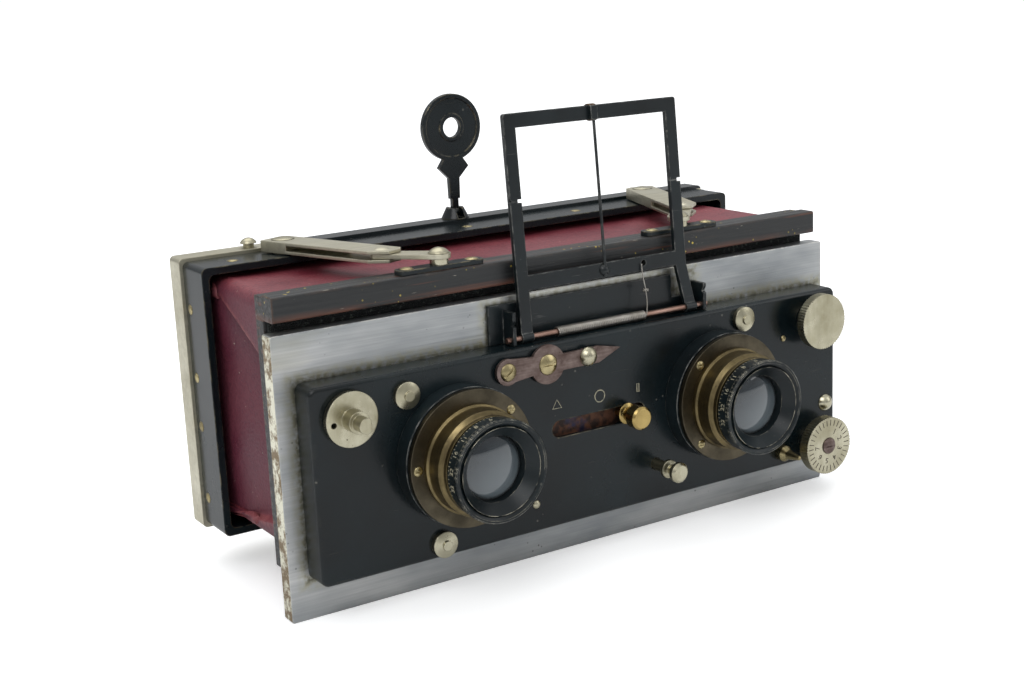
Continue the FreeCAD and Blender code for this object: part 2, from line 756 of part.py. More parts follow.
def windingSpindle():
    x, z = winderPlace
    disc = frontDisc(5.2, x, z, caseFront - 1.5, caseFront - 0.15)
    disc = disc.cut(frontDisc(0.55, x - 3.7, z - 0.5, caseFront - 3, caseFront))
    step = frontDisc(2.1, x, z, caseFront - 4.4, caseFront - 1.5)
    post = frontDisc(1.45, x, z, caseFront - 7.2, caseFront - 4.4)
    flat = box(x + 0.95, x + 3, caseFront - 8, caseFront - 5.0, z - 3, z + 3)
    shaft = frontDisc(1.5, x, z, caseFront - 0.15, caseFront + 3.8)
    return joinSolids(disc, step, post.cut(flat), shaft)


def tensionKnob():
    x, z = tensionPlace
    head = knurled(frontDisc(5.95, x, z, caseFront - 5.2, caseFront - 3.2), 60, 0.4, 5.95, x, z,
                   caseFront - 6, caseFront - 3)
    collar = frontDisc(3.1, x, z, caseFront - 3.2, caseFront - 0.15)
    shaft = frontDisc(1.4, x, z, caseFront - 0.15, caseFront + 3.8)
    return joinSolids(head, collar, shaft)


plugTop = 5.4
plugSeat = 4.6


def focusKnob():
    x, z = focusPlace
    head = knurled(frontDisc(6.3, x, z, caseFront - 5.2, caseFront - 2.8), 64, 0.4, 6.3, x, z,
                   caseFront - 6, caseFront - 2.7)
    head = head.cut(frontDisc(1.8, x, z, caseFront - 6, caseFront - plugSeat))
    collar = frontDisc(3.4, x, z, caseFront - 2.8, caseFront - 0.15)
    shaft = frontDisc(1.5, x, z, caseFront - 0.15, caseFront + 3.8)
    return joinSolids(head, collar, shaft)


def focusPlug():
    x, z = focusPlace
    return slottedScrew(1.75, 0.5, 1.75, plugTop - plugSeat, (x, caseFront - plugTop, z), yAxis * -1, xAxis)


sliderX = 8.2
bladeHoleShift = 16.0


def shutterSlider():
    outline = [(0, caseFront - 5.2), (2.0, caseFront - 5.2), (2.4, caseFront - 4.8), (2.4, caseFront - 2.6),
               (1.5, caseFront - 2.2), (1.5, caseFront - 0.5), (2.2, caseFront - 0.2), (2.2, caseFront - 0.1),
               (1.4, caseFront - 0.1), (1.4, -3.65), (0, -3.65)]
    return revolvedFront(outline, sliderX, lensZ)


def shutterBlade():
    """Guillotine blade inside the case, with an aperture for each lens."""
    blade = box(-43.0, 58.0, -3.65, -3.15, lensZ - 9.2, lensZ + 9.2)
    holes = [frontDisc(6.0, x + bladeHoleShift, lensZ, -5, 0) for x in (-lensX, lensX)]
    return cutAll(blade, holes)


def releaseButton():
    x, z = releasePlace
    outline = [(0, caseFront - 8.2), (1.6, caseFront - 8.2), (2.1, caseFront - 7.8), (2.1, caseFront - 7.0),
               (1.0, caseFront - 6.6), (1.0, caseFront - 4.9), (1.9, caseFront - 4.6), (1.9, caseFront - 3.8),
               (1.2, caseFront - 3.6), (1.2, caseFront + 1.4), (0, caseFront + 1.4)]
    return revolvedFront(outline, x, z)


leverGauge = 0.8
leverBack = caseFront - 0.3
leverEnd = -9.1
leverTip = 17.3
leverButtonX = 9.5


def leverArm():
    """Pointer lever: round end, round middle, straight arm and pointed tip."""
    x, z = leverPlace
    y0 = leverBack - leverGauge
    middle = frontDisc(3.9, x, z, y0, leverBack)
    end = frontDisc(2.6, x + leverEnd, z, y0, leverBack)
    outline = [(leverEnd, -2.3), (-3.0, -1.6), (3.0, -1.7), (12.0, -1.7), (leverTip, 0.6),
               (12.0, 1.7), (3.0, 1.5), (-3.0, 2.0), (leverEnd, 2.5)]
    wire = Part.makePolygon([V(x + dx, y0, z + dz) for dx, dz in outline + outline[:1]])
    arm = Part.Face(wire).extrude(V(0, leverGauge, 0))
    holes = [frontDisc(0.9, x, z, y0 - 1, leverBack + 1),
             frontDisc(0.8, x + leverEnd, z, y0 - 1, leverBack + 1)]
    return cutAll(joinSolids(middle, end, arm), holes)


def leverScrews():
    x, z = leverPlace
    y0 = leverBack - leverGauge
    pivot = slottedScrew(2.1, 0.7, 0.9, 2.4, (x, y0, z), yAxis * -1, xAxis)
    end = slottedScrew(1.8, 0.6, 0.8, 0.9, (x + leverEnd, y0, z), yAxis * -1, V(0.8, 0, 0.6))
    return Part.makeCompound([pivot, end])


def leverDome():
    x, z = leverPlace
    return domedHead(2.0, 1.5, (x + leverButtonX, leverBack - leverGauge, z), yAxis * -1)


# write every piece --------------------------------------------------------

pieces = {
    "rear_housing": rearHousing(),
    "housing_screws": housingScrews(),
    "tripod_bush": tripodBush(),
    "rear_rails": rearRails(),
    "bellows": bellowsSleeve(),
    "screen_frame": screenFrame(),
    "screen_glass": screenGlass(),
    "latch_button": latchButton(),
    "sight_base": sightBase(),
    "peep_sight": peepSight(),
    "rear_pivot_screws": rearPivotScrews(),
    "standard_frame": standardFrame(),
    "light_seal": lightSeal(),
    "front_pivot_studs": frontPivotStuds(),
    "strut_brackets": strutBrackets(),
    "bracket_screws": bracketScrews(),
    "front_plate": frontPlate(),
    "shutter_case": shutterCase(),
    "panel_studs": panelStuds(),
    "pointer_nipple": pointerNipple(),
    "finder_bracket": finderBracket(),
    "finder_rod": finderRod(),
    "finder_frame": finderFrame(),
    "finder_bow": finderBow(),
    "sighting_wire": sightingWire(),
    "finder_spring": finderSpring(),
    "flange_screws": flangeScrews(),
    "winding_spindle": windingSpindle(),
    "tension_knob": tensionKnob(),
    "focus_knob": focusKnob(),
    "focus_plug": focusPlug(),
    "shutter_slider": shutterSlider(),
    "shutter_blade": shutterBlade(),
    "release_button": releaseButton(),
    "lever_arm": leverArm(),
    "lever_screws": leverScrews(),
    "lever_dome": leverDome(),
}

for name, side in sides.items():
    pieces["lens_tube_" + name] = lensTube(side)
    pieces["lens_flange_" + name] = lensFlange(side)
    pieces["lens_barrel_" + name] = lensBarrel(side)
    pieces["iris_ring_" + name] = irisRing(side)
    pieces["lens_cell_" + name] = lensCell(side)
    pieces["lens_glass_" + name] = lensGlass(side)

for name, (sideways, upsideDown) in corners.items():
    frontY = lowerPivotY if upsideDown else frontPivotY
    pieces["strut_arm_" + name] = mirrored(strutArm(frontY), sideways, upsideDown)
    pieces["strut_link_" + name] = mirrored(strutLink(frontY), sideways, upsideDown)

for name, shape in pieces.items():
    shape.translate(V(0, -bushY, 0))
    shape.exportStep("parts/" + name + ".step")
    print(name, round(shape.Volume, 1), len(shape.Solids), shape.isValid())
print(len(pieces), "nodes")
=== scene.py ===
import math

import bpy
import numpy as np
from mathutils import Matrix, Vector


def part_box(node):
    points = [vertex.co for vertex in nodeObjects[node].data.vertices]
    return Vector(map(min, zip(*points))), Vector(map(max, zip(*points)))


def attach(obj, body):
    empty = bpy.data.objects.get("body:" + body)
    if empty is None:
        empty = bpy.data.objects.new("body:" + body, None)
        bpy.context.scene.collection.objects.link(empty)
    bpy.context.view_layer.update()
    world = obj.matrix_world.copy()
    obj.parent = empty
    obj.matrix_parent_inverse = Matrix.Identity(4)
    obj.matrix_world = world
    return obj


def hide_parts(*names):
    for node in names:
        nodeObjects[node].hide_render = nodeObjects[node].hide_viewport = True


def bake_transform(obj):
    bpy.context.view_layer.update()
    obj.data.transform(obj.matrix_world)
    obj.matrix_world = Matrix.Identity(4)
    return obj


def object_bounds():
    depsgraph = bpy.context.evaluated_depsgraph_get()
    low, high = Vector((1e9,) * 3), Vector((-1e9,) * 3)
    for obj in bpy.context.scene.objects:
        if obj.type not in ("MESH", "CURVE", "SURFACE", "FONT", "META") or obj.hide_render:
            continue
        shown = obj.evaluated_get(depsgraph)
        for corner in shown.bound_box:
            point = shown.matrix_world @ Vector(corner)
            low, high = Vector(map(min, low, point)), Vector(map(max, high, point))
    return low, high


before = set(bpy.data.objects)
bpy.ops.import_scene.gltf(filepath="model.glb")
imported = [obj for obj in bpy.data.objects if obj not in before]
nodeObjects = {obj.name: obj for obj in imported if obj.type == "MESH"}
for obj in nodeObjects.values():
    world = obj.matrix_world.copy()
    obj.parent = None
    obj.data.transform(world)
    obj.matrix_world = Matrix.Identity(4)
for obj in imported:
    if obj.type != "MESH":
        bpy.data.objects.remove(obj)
cadLow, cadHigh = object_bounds()
mm = 0.001
sides = ("left", "right")
corners = ("top_left", "top_right", "bottom_left", "bottom_right")
print("frame loaded:", len(nodeObjects), "nodes")


def middleOf(node):
    low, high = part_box(node)
    return (low + high) / 2


# meshes from arrays

def makePiece(name, verts, faces, material, smooth=True):
    mesh = bpy.data.meshes.new(name)
    mesh.from_pydata(np.asarray(verts, float).tolist(), [], faces)
    mesh.polygons.foreach_set("use_smooth", [smooth] * len(mesh.polygons))
    mesh.materials.append(material)
    mesh.update()
    piece = bpy.data.objects.new(name, mesh)
    bpy.context.scene.collection.objects.link(piece)
    return piece


def gridFaces(rows, columns, closeRows=False, closeColumns=False, first=0):
    # four corners of each cell, wrapped where the grid closes on itself
    i = np.arange(rows if closeRows else rows - 1)
    j = np.arange(columns if closeColumns else columns - 1)
    a, b = np.meshgrid(i, j, indexing="ij")
    c, d = (a + 1) % rows, (b + 1) % columns
    quads = np.stack([a * columns + b, a * columns + d, c * columns + d, c * columns + b], -1)
    return (quads.reshape(-1, 4) + first).tolist()


def joinMeshes(parts):
    # several (points, faces) as one, with the faces' numbers moved on
    points, faces, count = [], [], 0
    for verts, polygons in parts:
        points.append(np.asarray(verts, float))
        faces += [[n + count for n in polygon] for polygon in polygons]
        count += len(verts)
    return np.concatenate(points), faces


def tubeAlong(path, radius, around=8):
    # a circle carried along the path, square to it, with a fan closing each end
    path = np.asarray(path, float)
    way = np.gradient(path, axis=0)
    way /= np.linalg.norm(way, axis=1)[:, None]
    helper = np.where(np.abs(way[:, :1]) > 0.9, [[0.0, 0.0, 1.0]], [[1.0, 0.0, 0.0]])
    across = np.cross(way, helper)
    across /= np.linalg.norm(across, axis=1)[:, None]
    other = np.cross(way, across)
    turn = np.linspace(0, 2 * np.pi, around, endpoint=False)
    ring = across[:, None] * np.cos(turn)[None, :, None] + other[:, None] * np.sin(turn)[None, :, None]
    verts = (path[:, None] + radius * ring).reshape(-1, 3)
    faces = gridFaces(len(path), around, closeColumns=True)
    last = (len(path) - 1) * around
    faces.append(list(range(around - 1, -1, -1)))
    faces.append(list(range(last, last + around)))
    return verts, faces


def tickBoxes(middles, along, across, out, length, width, height):
    # one thin block for each middle, with its own three directions
    corner = np.array([[x, y, z] for x in (-0.5, 0.5) for y in (-0.5, 0.5) for z in (-0.5, 0.5)])
    verts = (middles[:, None] + corner[None, :, :1] * length * along[:, None]
             + corner[None, :, 1:2] * width * across[:, None]
             + corner[None, :, 2:] * height * out[:, None]).reshape(-1, 3)
    cube = np.array([[0, 1, 3, 2], [4, 6, 7, 5], [0, 4, 5, 1], [2, 3, 7, 6], [0, 2, 6, 4], [1, 5, 7, 3]])
    faces = (cube[None] + 8 * np.arange(len(middles))[:, None, None]).reshape(-1, 4).tolist()
    return verts, faces


def numeralAt(text, size, depth, place, right, up):
    # a generic numeral, standing on the plane of right and up
    curve = bpy.data.curves.new("numeral", "FONT")
    curve.body = text
    curve.size = size
    curve.extrude = depth
    curve.align_x = "CENTER"
    curve.align_y = "CENTER"
    holder = bpy.data.objects.new("numeral", curve)
    bpy.context.scene.collection.objects.link(holder)
    bpy.context.view_layer.update()
    mesh = bpy.data.meshes.new_from_object(holder.evaluated_get(bpy.context.evaluated_depsgraph_get()))
    flat = np.zeros(len(mesh.vertices) * 3)
    mesh.vertices.foreach_get("co", flat)
    flat = flat.reshape(-1, 3)
    faces = [list(polygon.vertices) for polygon in mesh.polygons]
    bpy.data.objects.remove(holder)
    right, up = np.asarray(right, float), np.asarray(up, float)
    axes = np.stack([right, up, np.cross(right, up)])
    return np.asarray(place) + flat @ axes, faces


def ribbon(points, width, normal):
    # a flat closed stroke that follows the outline, a width across
    points = np.asarray(points, float)
    ahead = np.roll(points, -1, 0) - np.roll(points, 1, 0)
    side = np.cross(ahead, normal)
    side /= np.linalg.norm(side, axis=1)[:, None]
    verts = np.stack([points - side * width / 2, points + side * width / 2], 1).reshape(-1, 3)
    return verts, gridFaces(len(points), 2, closeRows=True)


# node trees

class Graph:
    def __init__(self, tree):
        self.tree = tree

    def fill(self, node, inputs):
        # a socket is linked to its input, and a plain value is set on it
        for key, value in (inputs or {}).items():
            if isinstance(value, bpy.types.NodeSocket):
                self.tree.links.new(value, node.inputs[key])
            else:
                node.inputs[key].default_value = value

    def add(self, kind, inputs=None, **settings):
        node = self.tree.nodes.new("ShaderNode" + kind)
        for key, value in settings.items():
            setattr(node, key, value)
        self.fill(node, inputs)
        return node

    def math(self, operation, a, b=0.0, clamp=False):
        return self.add("Math", {0: a, 1: b}, operation=operation, use_clamp=clamp).outputs[0]

    def mix(self, factor, a, b):
        return self.add("Mix", {0: factor, 6: a, 7: b}, data_type="RGBA").outputs[2]

    def blend(self, factor, a, b):
        return self.add("Mix", {0: factor, 2: a, 3: b}, data_type="FLOAT").outputs[0]

    def noise(self, vector, scale, detail=4.0, roughness=0.55):
        values = {"Vector": vector, "Scale": scale, "Detail": detail, "Roughness": roughness}
        return self.add("TexNoise", values).outputs[0]

    def stretch(self, vector, x, y, z):
        return self.add("VectorMath", {0: vector, 1: (x, y, z)}, operation="MULTIPLY").outputs[0]

    def span(self, value, low, high, outLow=0.0, outHigh=1.0):
        values = {"Value": value, "From Min": low, "From Max": high, "To Min": outLow, "To Max": outHigh}
        return self.add("MapRange", values).outputs[0]

    def coordinates(self):
        return self.add("TexCoord").outputs["Object"]

    def use(self, group, inputs=None):
        node = self.tree.nodes.new("ShaderNodeGroup")
        node.node_tree = group
        self.fill(node, inputs)
        return node.outputs


def newGroup(name, inputs, outputs):
    tree = bpy.data.node_groups.new(name, "ShaderNodeTree")
    for label, kind, value in inputs:
        socket = tree.interface.new_socket(label, in_out="INPUT", socket_type="NodeSocket" + kind)
        socket.default_value = value
    for label, kind in outputs:
        tree.interface.new_socket(label, in_out="OUTPUT", socket_type="NodeSocket" + kind)
    start = tree.nodes.new("NodeGroupInput")
    end = tree.nodes.new("NodeGroupOutput")
    return tree, Graph(tree), start.outputs, end.inputs


def edgeWearGroup():
    # how far a rounded normal leans from the face's own, broken up by noise
    tree, g, start, end = newGroup("edgeWear", [("Radius", "Float", 0.0004), ("Gain", "Float", 6.0),
                                                ("Scale", "Float", 500.0)],
                                   [("Mask", "Float"), ("Normal", "Vector")])
    rounded = g.add("Bevel", {"Radius": start["Radius"]}, samples=4).outputs[0]
    own = g.add("NewGeometry").outputs["Normal"]
    dot = g.add("VectorMath", {0: rounded, 1: own}, operation="DOT_PRODUCT").outputs["Value"]
    lean = g.math("MULTIPLY", g.math("SUBTRACT", 1.0, dot), start["Gain"], clamp=True)
    broken = g.span(g.noise(g.coordinates(), start["Scale"]), 0.42, 0.62)
    tree.links.new(g.math("MULTIPLY", lean, broken, clamp=True), end["Mask"])
    tree.links.new(rounded, end["Normal"])
    return tree


def streaksGroup():
    # noise drawn out along one direction, as brushing and grain are
    tree, g, start, end = newGroup("streaks", [("Stretch", "Vector", (60.0, 1500.0, 1500.0)),
                                               ("Low", "Float", 0.35), ("High", "Float", 0.65)],
                                   [("Mask", "Float")])
    vector = g.add("VectorMath", {0: g.coordinates(), 1: start["Stretch"]}, operation="MULTIPLY").outputs[0]
    noise = g.noise(vector, 1.0, 5.0, 0.6)
    values = {"Value": noise, "From Min": start["Low"], "From Max": start["High"]}
    tree.links.new(g.add("MapRange", values).outputs[0], end["Mask"])
    return tree


def specksGroup():
    # small round specks of dust and chips, each inside its own noise patch
    tree, g, start, end = newGroup("specks", [("Scale", "Float", 600.0), ("Size", "Float", 0.12)],
                                   [("Mask", "Float")])
    place = g.coordinates()
    cells = g.add("TexVoronoi", {"Vector": place, "Scale": start["Scale"]}).outputs["Distance"]
    dots = g.math("LESS_THAN", cells, start["Size"])
    patch = g.span(g.noise(place, 160.0), 0.55, 0.66)
    tree.links.new(g.math("MULTIPLY", dots, patch, clamp=True), end["Mask"])
    return tree


def leatherGrainGroup():
    # leather grain: worn cells over a finer noise
    tree, g, start, end = newGroup("leatherGrain", [("Scale", "Float", 1500.0)], [("Height", "Float")])
    place = g.coordinates()
    values = {"Vector": place, "Scale": start["Scale"]}
    cells = g.add("TexVoronoi", values, feature="SMOOTH_F1").outputs["Distance"]
    fine = g.noise(place, 3200.0)
    height = g.math("ADD", g.math("MULTIPLY", cells, 0.7), g.math("MULTIPLY", fine, 0.3))
    tree.links.new(height, end["Height"])
    return tree


def nearRectangleGroup():
    # how near a point of a front face lies to the outside of a rectangle, in X and Z
    tree, g, start, end = newGroup("nearRectangle", [("Centre", "Vector", (0, 0, 0)),
                                                     ("Half", "Vector", (1, 1, 1)),
                                                     ("Reach", "Float", 0.002)], [("Mask", "Float")])
    place = g.coordinates()
    ragged = g.add("TexNoise", {"Vector": place, "Scale": 900.0, "Detail": 3.0}).outputs[0]
    offset = g.add("VectorMath", {0: place, 1: start["Centre"]}, operation="SUBTRACT").outputs[0]
    away = g.add("VectorMath", {0: offset}, operation="ABSOLUTE").outputs[0]
    beyond = g.add("VectorMath", {0: away, 1: start["Half"]}, operation="SUBTRACT").outputs[0]
    parts = g.add("SeparateXYZ", {0: beyond}).outputs
    farthest = g.math("MAXIMUM", parts["X"], parts["Z"])
    near = g.math("SUBTRACT", 1.0, g.math("DIVIDE", farthest, start["Reach"]), clamp=True)
    mask = g.math("MULTIPLY", near, g.span(ragged, 0.3, 0.62), clamp=True)
    tree.links.new(mask, end["Mask"])
    return tree


edgeWear = edgeWearGroup()
streaks = streaksGroup()
specks = specksGroup()
leatherGrain = leatherGrainGroup()
nearRectangle = nearRectangleGroup()
print("node groups made")


# materials

def startMaterial(name):
    material = bpy.data.materials.new(name)
    material.use_nodes = True
    shader = material.node_tree.nodes["Principled BSDF"]
    return material, Graph(material.node_tree), shader


def lacquer(name, look):
    # black paint: soft smears, dust, scratches, and bare metal along its edges
    material, g, shader = startMaterial(name)
    place = g.coordinates()
    smears = g.noise(place, look["smearScale"], 5.0, 0.6)
    color = g.mix(g.span(smears, 0.35, 0.7), look["dark"], look["light"])
    wear = g.use(edgeWear, {"Radius": look["edge"], "Gain": look["gain"], "Scale": 420.0})
    dust = g.use(specks, {"Scale": 420.0, "Size": 0.11})["Mask"]
    scratch = g.use(streaks, {"Stretch": (90.0, 900.0, 1900.0), "Low": 0.66, "High": 0.72})["Mask"]
    color = g.mix(g.math("MULTIPLY", scratch, look["scratches"]), color, look["worn"])
    color = g.mix(g.math("MULTIPLY", dust, look["dust"]), color, look["dusty"])
    color = g.mix(wear["Mask"], color, look["worn"])
    roughness = g.span(smears, 0.3, 0.75, look["rough"][0], look["rough"][1])
    bump = g.add("Bump", {"Strength": 0.12, "Distance": 0.0001, "Height": g.noise(place, 1600.0),
                          "Normal": wear["Normal"]}).outputs[0]
    g.fill(shader, {"Base Color": color, "Roughness": roughness, "Metallic": wear["Mask"], "Normal": bump,
                    "IOR": 1.38, "Coat Roughness": 0.12, "Coat Weight": look["coat"]})
    return material


def plated(name, look):
    # polished or brushed metal with tarnish in patches, darker dirt along its brushing and in small pits, and
    # bright wear on its edges
    material, g, shader = startMaterial(name)
    place = g.coordinates()
    patches = g.noise(place, look["patchScale"], 6.0, 0.62)
    color = g.mix(g.span(patches, 0.35, 0.68), look["bright"], look["dull"])
    brushed = g.use(streaks, {"Stretch": look["brush"], "Low": 0.3, "High": 0.7})["Mask"]
    color = g.mix(g.math("MULTIPLY", brushed, look["brushTint"]), color, look["dirt"])
    pits = g.use(specks, {"Scale": 900.0, "Size": 0.16})["Mask"]
    color = g.mix(g.math("MULTIPLY", pits, 0.7), color, look["dirt"])
    wear = g.use(edgeWear, {"Radius": look["edge"], "Gain": 5.0, "Scale": 700.0})
    color = g.mix(g.math("MULTIPLY", wear["Mask"], look["edgeBright"]), color, look["bright"])
    rough = g.span(patches, 0.3, 0.7, look["rough"][0], look["rough"][1])
    bump = g.add("Bump", {"Strength": look["bump"], "Distance": 0.00008, "Height": brushed,
                          "Normal": wear["Normal"]}).outputs[0]
    g.fill(shader, {"Base Color": color, "Roughness": rough, "Metallic": look["metallic"], "Normal": bump})
    return material


def railMaterial():
    # nickel, lacquered black along the top except at its left end
    look = {"topBand": 0.75 * mm, "pastScrew": 1.5 * mm, "roughness": 0.22}
    material = plated("lacquered_rail", railNickel)
    g = Graph(material.node_tree)
    shader = material.node_tree.nodes["Principled BSDF"]
    place = g.add("SeparateXYZ", {0: g.coordinates()}).outputs
    above = g.math("GREATER_THAN", place["Z"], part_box("rear_rails")[1].z - look["topBand"])
    along = g.math("GREATER_THAN", place["X"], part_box("rear_pivot_screws")[0].x + look["pastScrew"])
    black = g.math("MULTIPLY", above, along)
    smears = g.noise(g.coordinates(), glossBlack["smearScale"], 5.0, 0.6)
    paint = g.mix(smears, glossBlack["dark"], glossBlack["light"])
    metalColor = shader.inputs["Base Color"].links[0].from_socket
    metalRough = shader.inputs["Roughness"].links[0].from_socket
    g.fill(shader, {"Base Color": g.mix(black, metalColor, paint), "Metallic": g.math("SUBTRACT", 1.0, black),
                    "Roughness": g.blend(black, metalRough, look["roughness"])})
    return material


def plateMaterial():
    # brushed lens board: streaks, smudges, residue, and a narrower darker band round the case and the
    # finder's bracket
    look = {"bright": (0.6, 0.6, 0.59, 1), "shade": (0.22, 0.24, 0.255, 1), "residue": (0.36, 0.33, 0.18, 1),
            "darkGrey": (0.09, 0.09, 0.08, 1), "polished": (0.85, 0.83, 0.74, 1), "cream": (0.78, 0.76, 0.62, 1),
            "stained": (0.2, 0.14, 0.07, 1), "reach": 2.6 * mm, "darkBandReach": 1.1 * mm}
    material, g, shader = startMaterial("brushed_aluminium")
    place = g.coordinates()
    clouds = g.noise(g.stretch(place, 18.0, 18.0, 55.0), 1.0, 4.0, 0.6)
    brushed = g.use(streaks, {"Stretch": (35.0, 900.0, 2600.0), "Low": 0.3, "High": 0.7})["Mask"]
    color = g.mix(g.span(clouds, 0.34, 0.66), look["bright"], look["shade"])
    color = g.mix(g.math("MULTIPLY", brushed, 0.3), color, look["shade"])
    turned = g.add("SeparateXYZ", {0: g.add("NewGeometry").outputs["Normal"]}).outputs
    front = g.math("LESS_THAN", turned["Y"], -0.7)
    for node, share in (("shutter_case", 1.0), ("finder_bracket", 0.75)):
        low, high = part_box(node)
        centre, half = (low + high) / 2, (high - low) / 2
        # on the front faces round each: a yellowish residue band, and inside it a narrower darker band
        for reach, tint, strength in ((look["reach"], look["residue"], 0.85),
                                      (look["darkBandReach"], look["darkGrey"], 0.9)):
            around = {"Centre": centre, "Half": (half.x, 1.0, half.z), "Reach": reach}
            onFront = g.math("MULTIPLY", g.use(nearRectangle, around)["Mask"], front)
            color = g.mix(g.math("MULTIPLY", onFront, share * strength), color, tint)
    stain = g.span(g.noise(g.stretch(place, 22.0, 22.0, 90.0), 1.0, 3.0), 0.6, 0.75)
    color = g.mix(g.math("MULTIPLY", stain, 0.4), color, look["residue"])
    specksMask = g.use(specks, {"Scale": 700.0, "Size": 0.14})["Mask"]
    color = g.mix(g.math("MULTIPLY", specksMask, 0.7), color, look["darkGrey"])
    wear = g.use(edgeWear, {"Radius": 0.0005, "Gain": 5.0, "Scale": 500.0})
    color = g.mix(g.math("MULTIPLY", wear["Mask"], 0.7), color, look["polished"])
    edgeFace = g.math("LESS_THAN", turned["X"], -0.7)
    stained = g.span(g.noise(place, 420.0, 6.0, 0.7), 0.44, 0.56)
    color = g.mix(edgeFace, color, g.mix(stained, look["cream"], look["stained"]))
    bump = g.add("Bump", {"Strength": 0.35, "Distance": 0.00006, "Height": brushed, "Normal": wear["Normal"]})
    g.fill(shader, {"Base Color": color, "Roughness": g.span(brushed, 0.0, 1.0, 0.3, 0.46), "Metallic": 0.85,
                    "Normal": bump.outputs[0]})
    return material


def woodMaterial():
    # black stain worn to red-brown wood, with pale scratches along the grain
    look = {"stain": (0.005, 0.006, 0.007, 1), "greyed": (0.02, 0.021, 0.021, 1),
            "bare": (0.12, 0.04, 0.02, 1), "pale": (0.6, 0.56, 0.46, 1), "speck": (0.55, 0.42, 0.06, 1),
            "edge": (0.2, 0.1, 0.05, 1), "lip": (4.7 * mm, 3.2 * mm), "bar": 4.9 * mm}
    material, g, shader = startMaterial("ebonised_wood")
    place = g.coordinates()
    grain = g.use(streaks, {"Stretch": (45.0, 900.0, 1200.0), "Low": 0.32, "High": 0.68})["Mask"]
    color = g.mix(grain, look["stain"], look["greyed"])
    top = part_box("standard_frame")[1].z
    height = g.add("SeparateXYZ", {0: place}).outputs["Z"]
    lip = g.span(height, top - look["lip"][0], top - look["lip"][1], 1.0, 0.0)
    underBar = g.math("GREATER_THAN", height, top - look["bar"])
    patch = g.span(g.noise(g.stretch(place, 30.0, 30.0, 160.0), 1.0, 4.0), 0.42, 0.56)
    bareLip = g.math("MULTIPLY", g.math("MULTIPLY", lip, underBar), patch, clamp=True)
    color = g.mix(g.math("MULTIPLY", bareLip, 0.85), color, look["bare"])
    along = g.span(g.noise(g.stretch(place, 25.0, 400.0, 900.0), 1.0, 4.0), 0.57, 0.66)
    color = g.mix(g.math("MULTIPLY", along, 0.55), color, look["bare"])
    scratch = g.use(streaks, {"Stretch": (220.0, 2500.0, 2900.0), "Low": 0.69, "High": 0.73})["Mask"]
    color = g.mix(g.math("MULTIPLY", scratch, 0.7), color, look["pale"])
    dots = g.use(specks, {"Scale": 800.0, "Size": 0.18})["Mask"]
    color = g.mix(dots, color, look["speck"])
    wear = g.use(edgeWear, {"Radius": 0.0006, "Gain": 6.0, "Scale": 260.0})
    color = g.mix(g.math("MULTIPLY", wear["Mask"], 0.6), color, look["edge"])
    bump = g.add("Bump", {"Strength": 0.5, "Distance": 0.0001, "Height": grain, "Normal": wear["Normal"]})
    g.fill(shader, {"Base Color": color, "Roughness": g.span(grain, 0.0, 1.0, 0.32, 0.6),
                    "Normal": bump.outputs[0]})
    return material


def leatherMaterial():
    # burgundy leather: pores and rubbed ridges, with painted shade in purple-brown on its sides and a painted
    # shadow in the hollow under the flap
    look = {"red": (0.14, 0.017, 0.028, 1), "rubbed": (0.23, 0.05, 0.06, 1), "deep": (0.035, 0.006, 0.018, 1),
            "side": (0.075, 0.018, 0.034, 1), "ridge": (0.3, 0.09, 0.09, 1), "dusty": (0.7, 0.62, 0.5, 1)}
    material, g, shader = startMaterial("maroon_leather")
    place = g.coordinates()
    grain = g.use(leatherGrain, {"Scale": 1700.0})["Height"]
    clouds = g.noise(place, 70.0, 5.0, 0.6)
    color = g.mix(g.span(clouds, 0.35, 0.68), look["red"], look["rubbed"])
    color = g.mix(g.math("MULTIPLY", g.span(grain, 0.45, 0.2), 0.5), color, look["deep"])
    # painted shade: faces turned to the side are mixed towards the darker purple-brown
    facing = g.add("SeparateXYZ", {0: g.add("NewGeometry").outputs["Normal"]}).outputs["X"]
    sideShade = g.span(g.math("ABSOLUTE", facing), 0.4, 0.95)
    color = g.mix(g.math("MULTIPLY", sideShade, 0.65), color, look["side"])
    # painted shadow just below the upper flap, from the bellows' mask
    flapShadow = g.add("Attribute", attribute_name="flapShadow").outputs["Fac"]
    color = g.mix(g.math("MULTIPLY", flapShadow, 0.75), color, look["deep"])
    ridge = g.add("Attribute", attribute_name="ridge").outputs["Fac"]
    rubbed = g.math("MULTIPLY", ridge, g.span(g.noise(place, 500.0), 0.35, 0.6), clamp=True)
    color = g.mix(g.math("MULTIPLY", rubbed, 0.6), color, look["ridge"])
    dust = g.use(specks, {"Scale": 700.0, "Size": 0.1})["Mask"]
    color = g.mix(g.math("MULTIPLY", dust, 0.5), color, look["dusty"])
    wrinkles = g.noise(g.stretch(place, 60.0, 220.0, 160.0), 1.0, 5.0, 0.6)
    height = g.math("ADD", grain, g.math("MULTIPLY", wrinkles, 2.0))
    bump = g.add("Bump", {"Strength": 0.55, "Distance": 0.00025, "Height": height})
    g.fill(shader, {"Base Color": color, "Roughness": g.span(clouds, 0.3, 0.7, 0.42, 0.62),
                    "Normal": bump.outputs[0]})
    return material


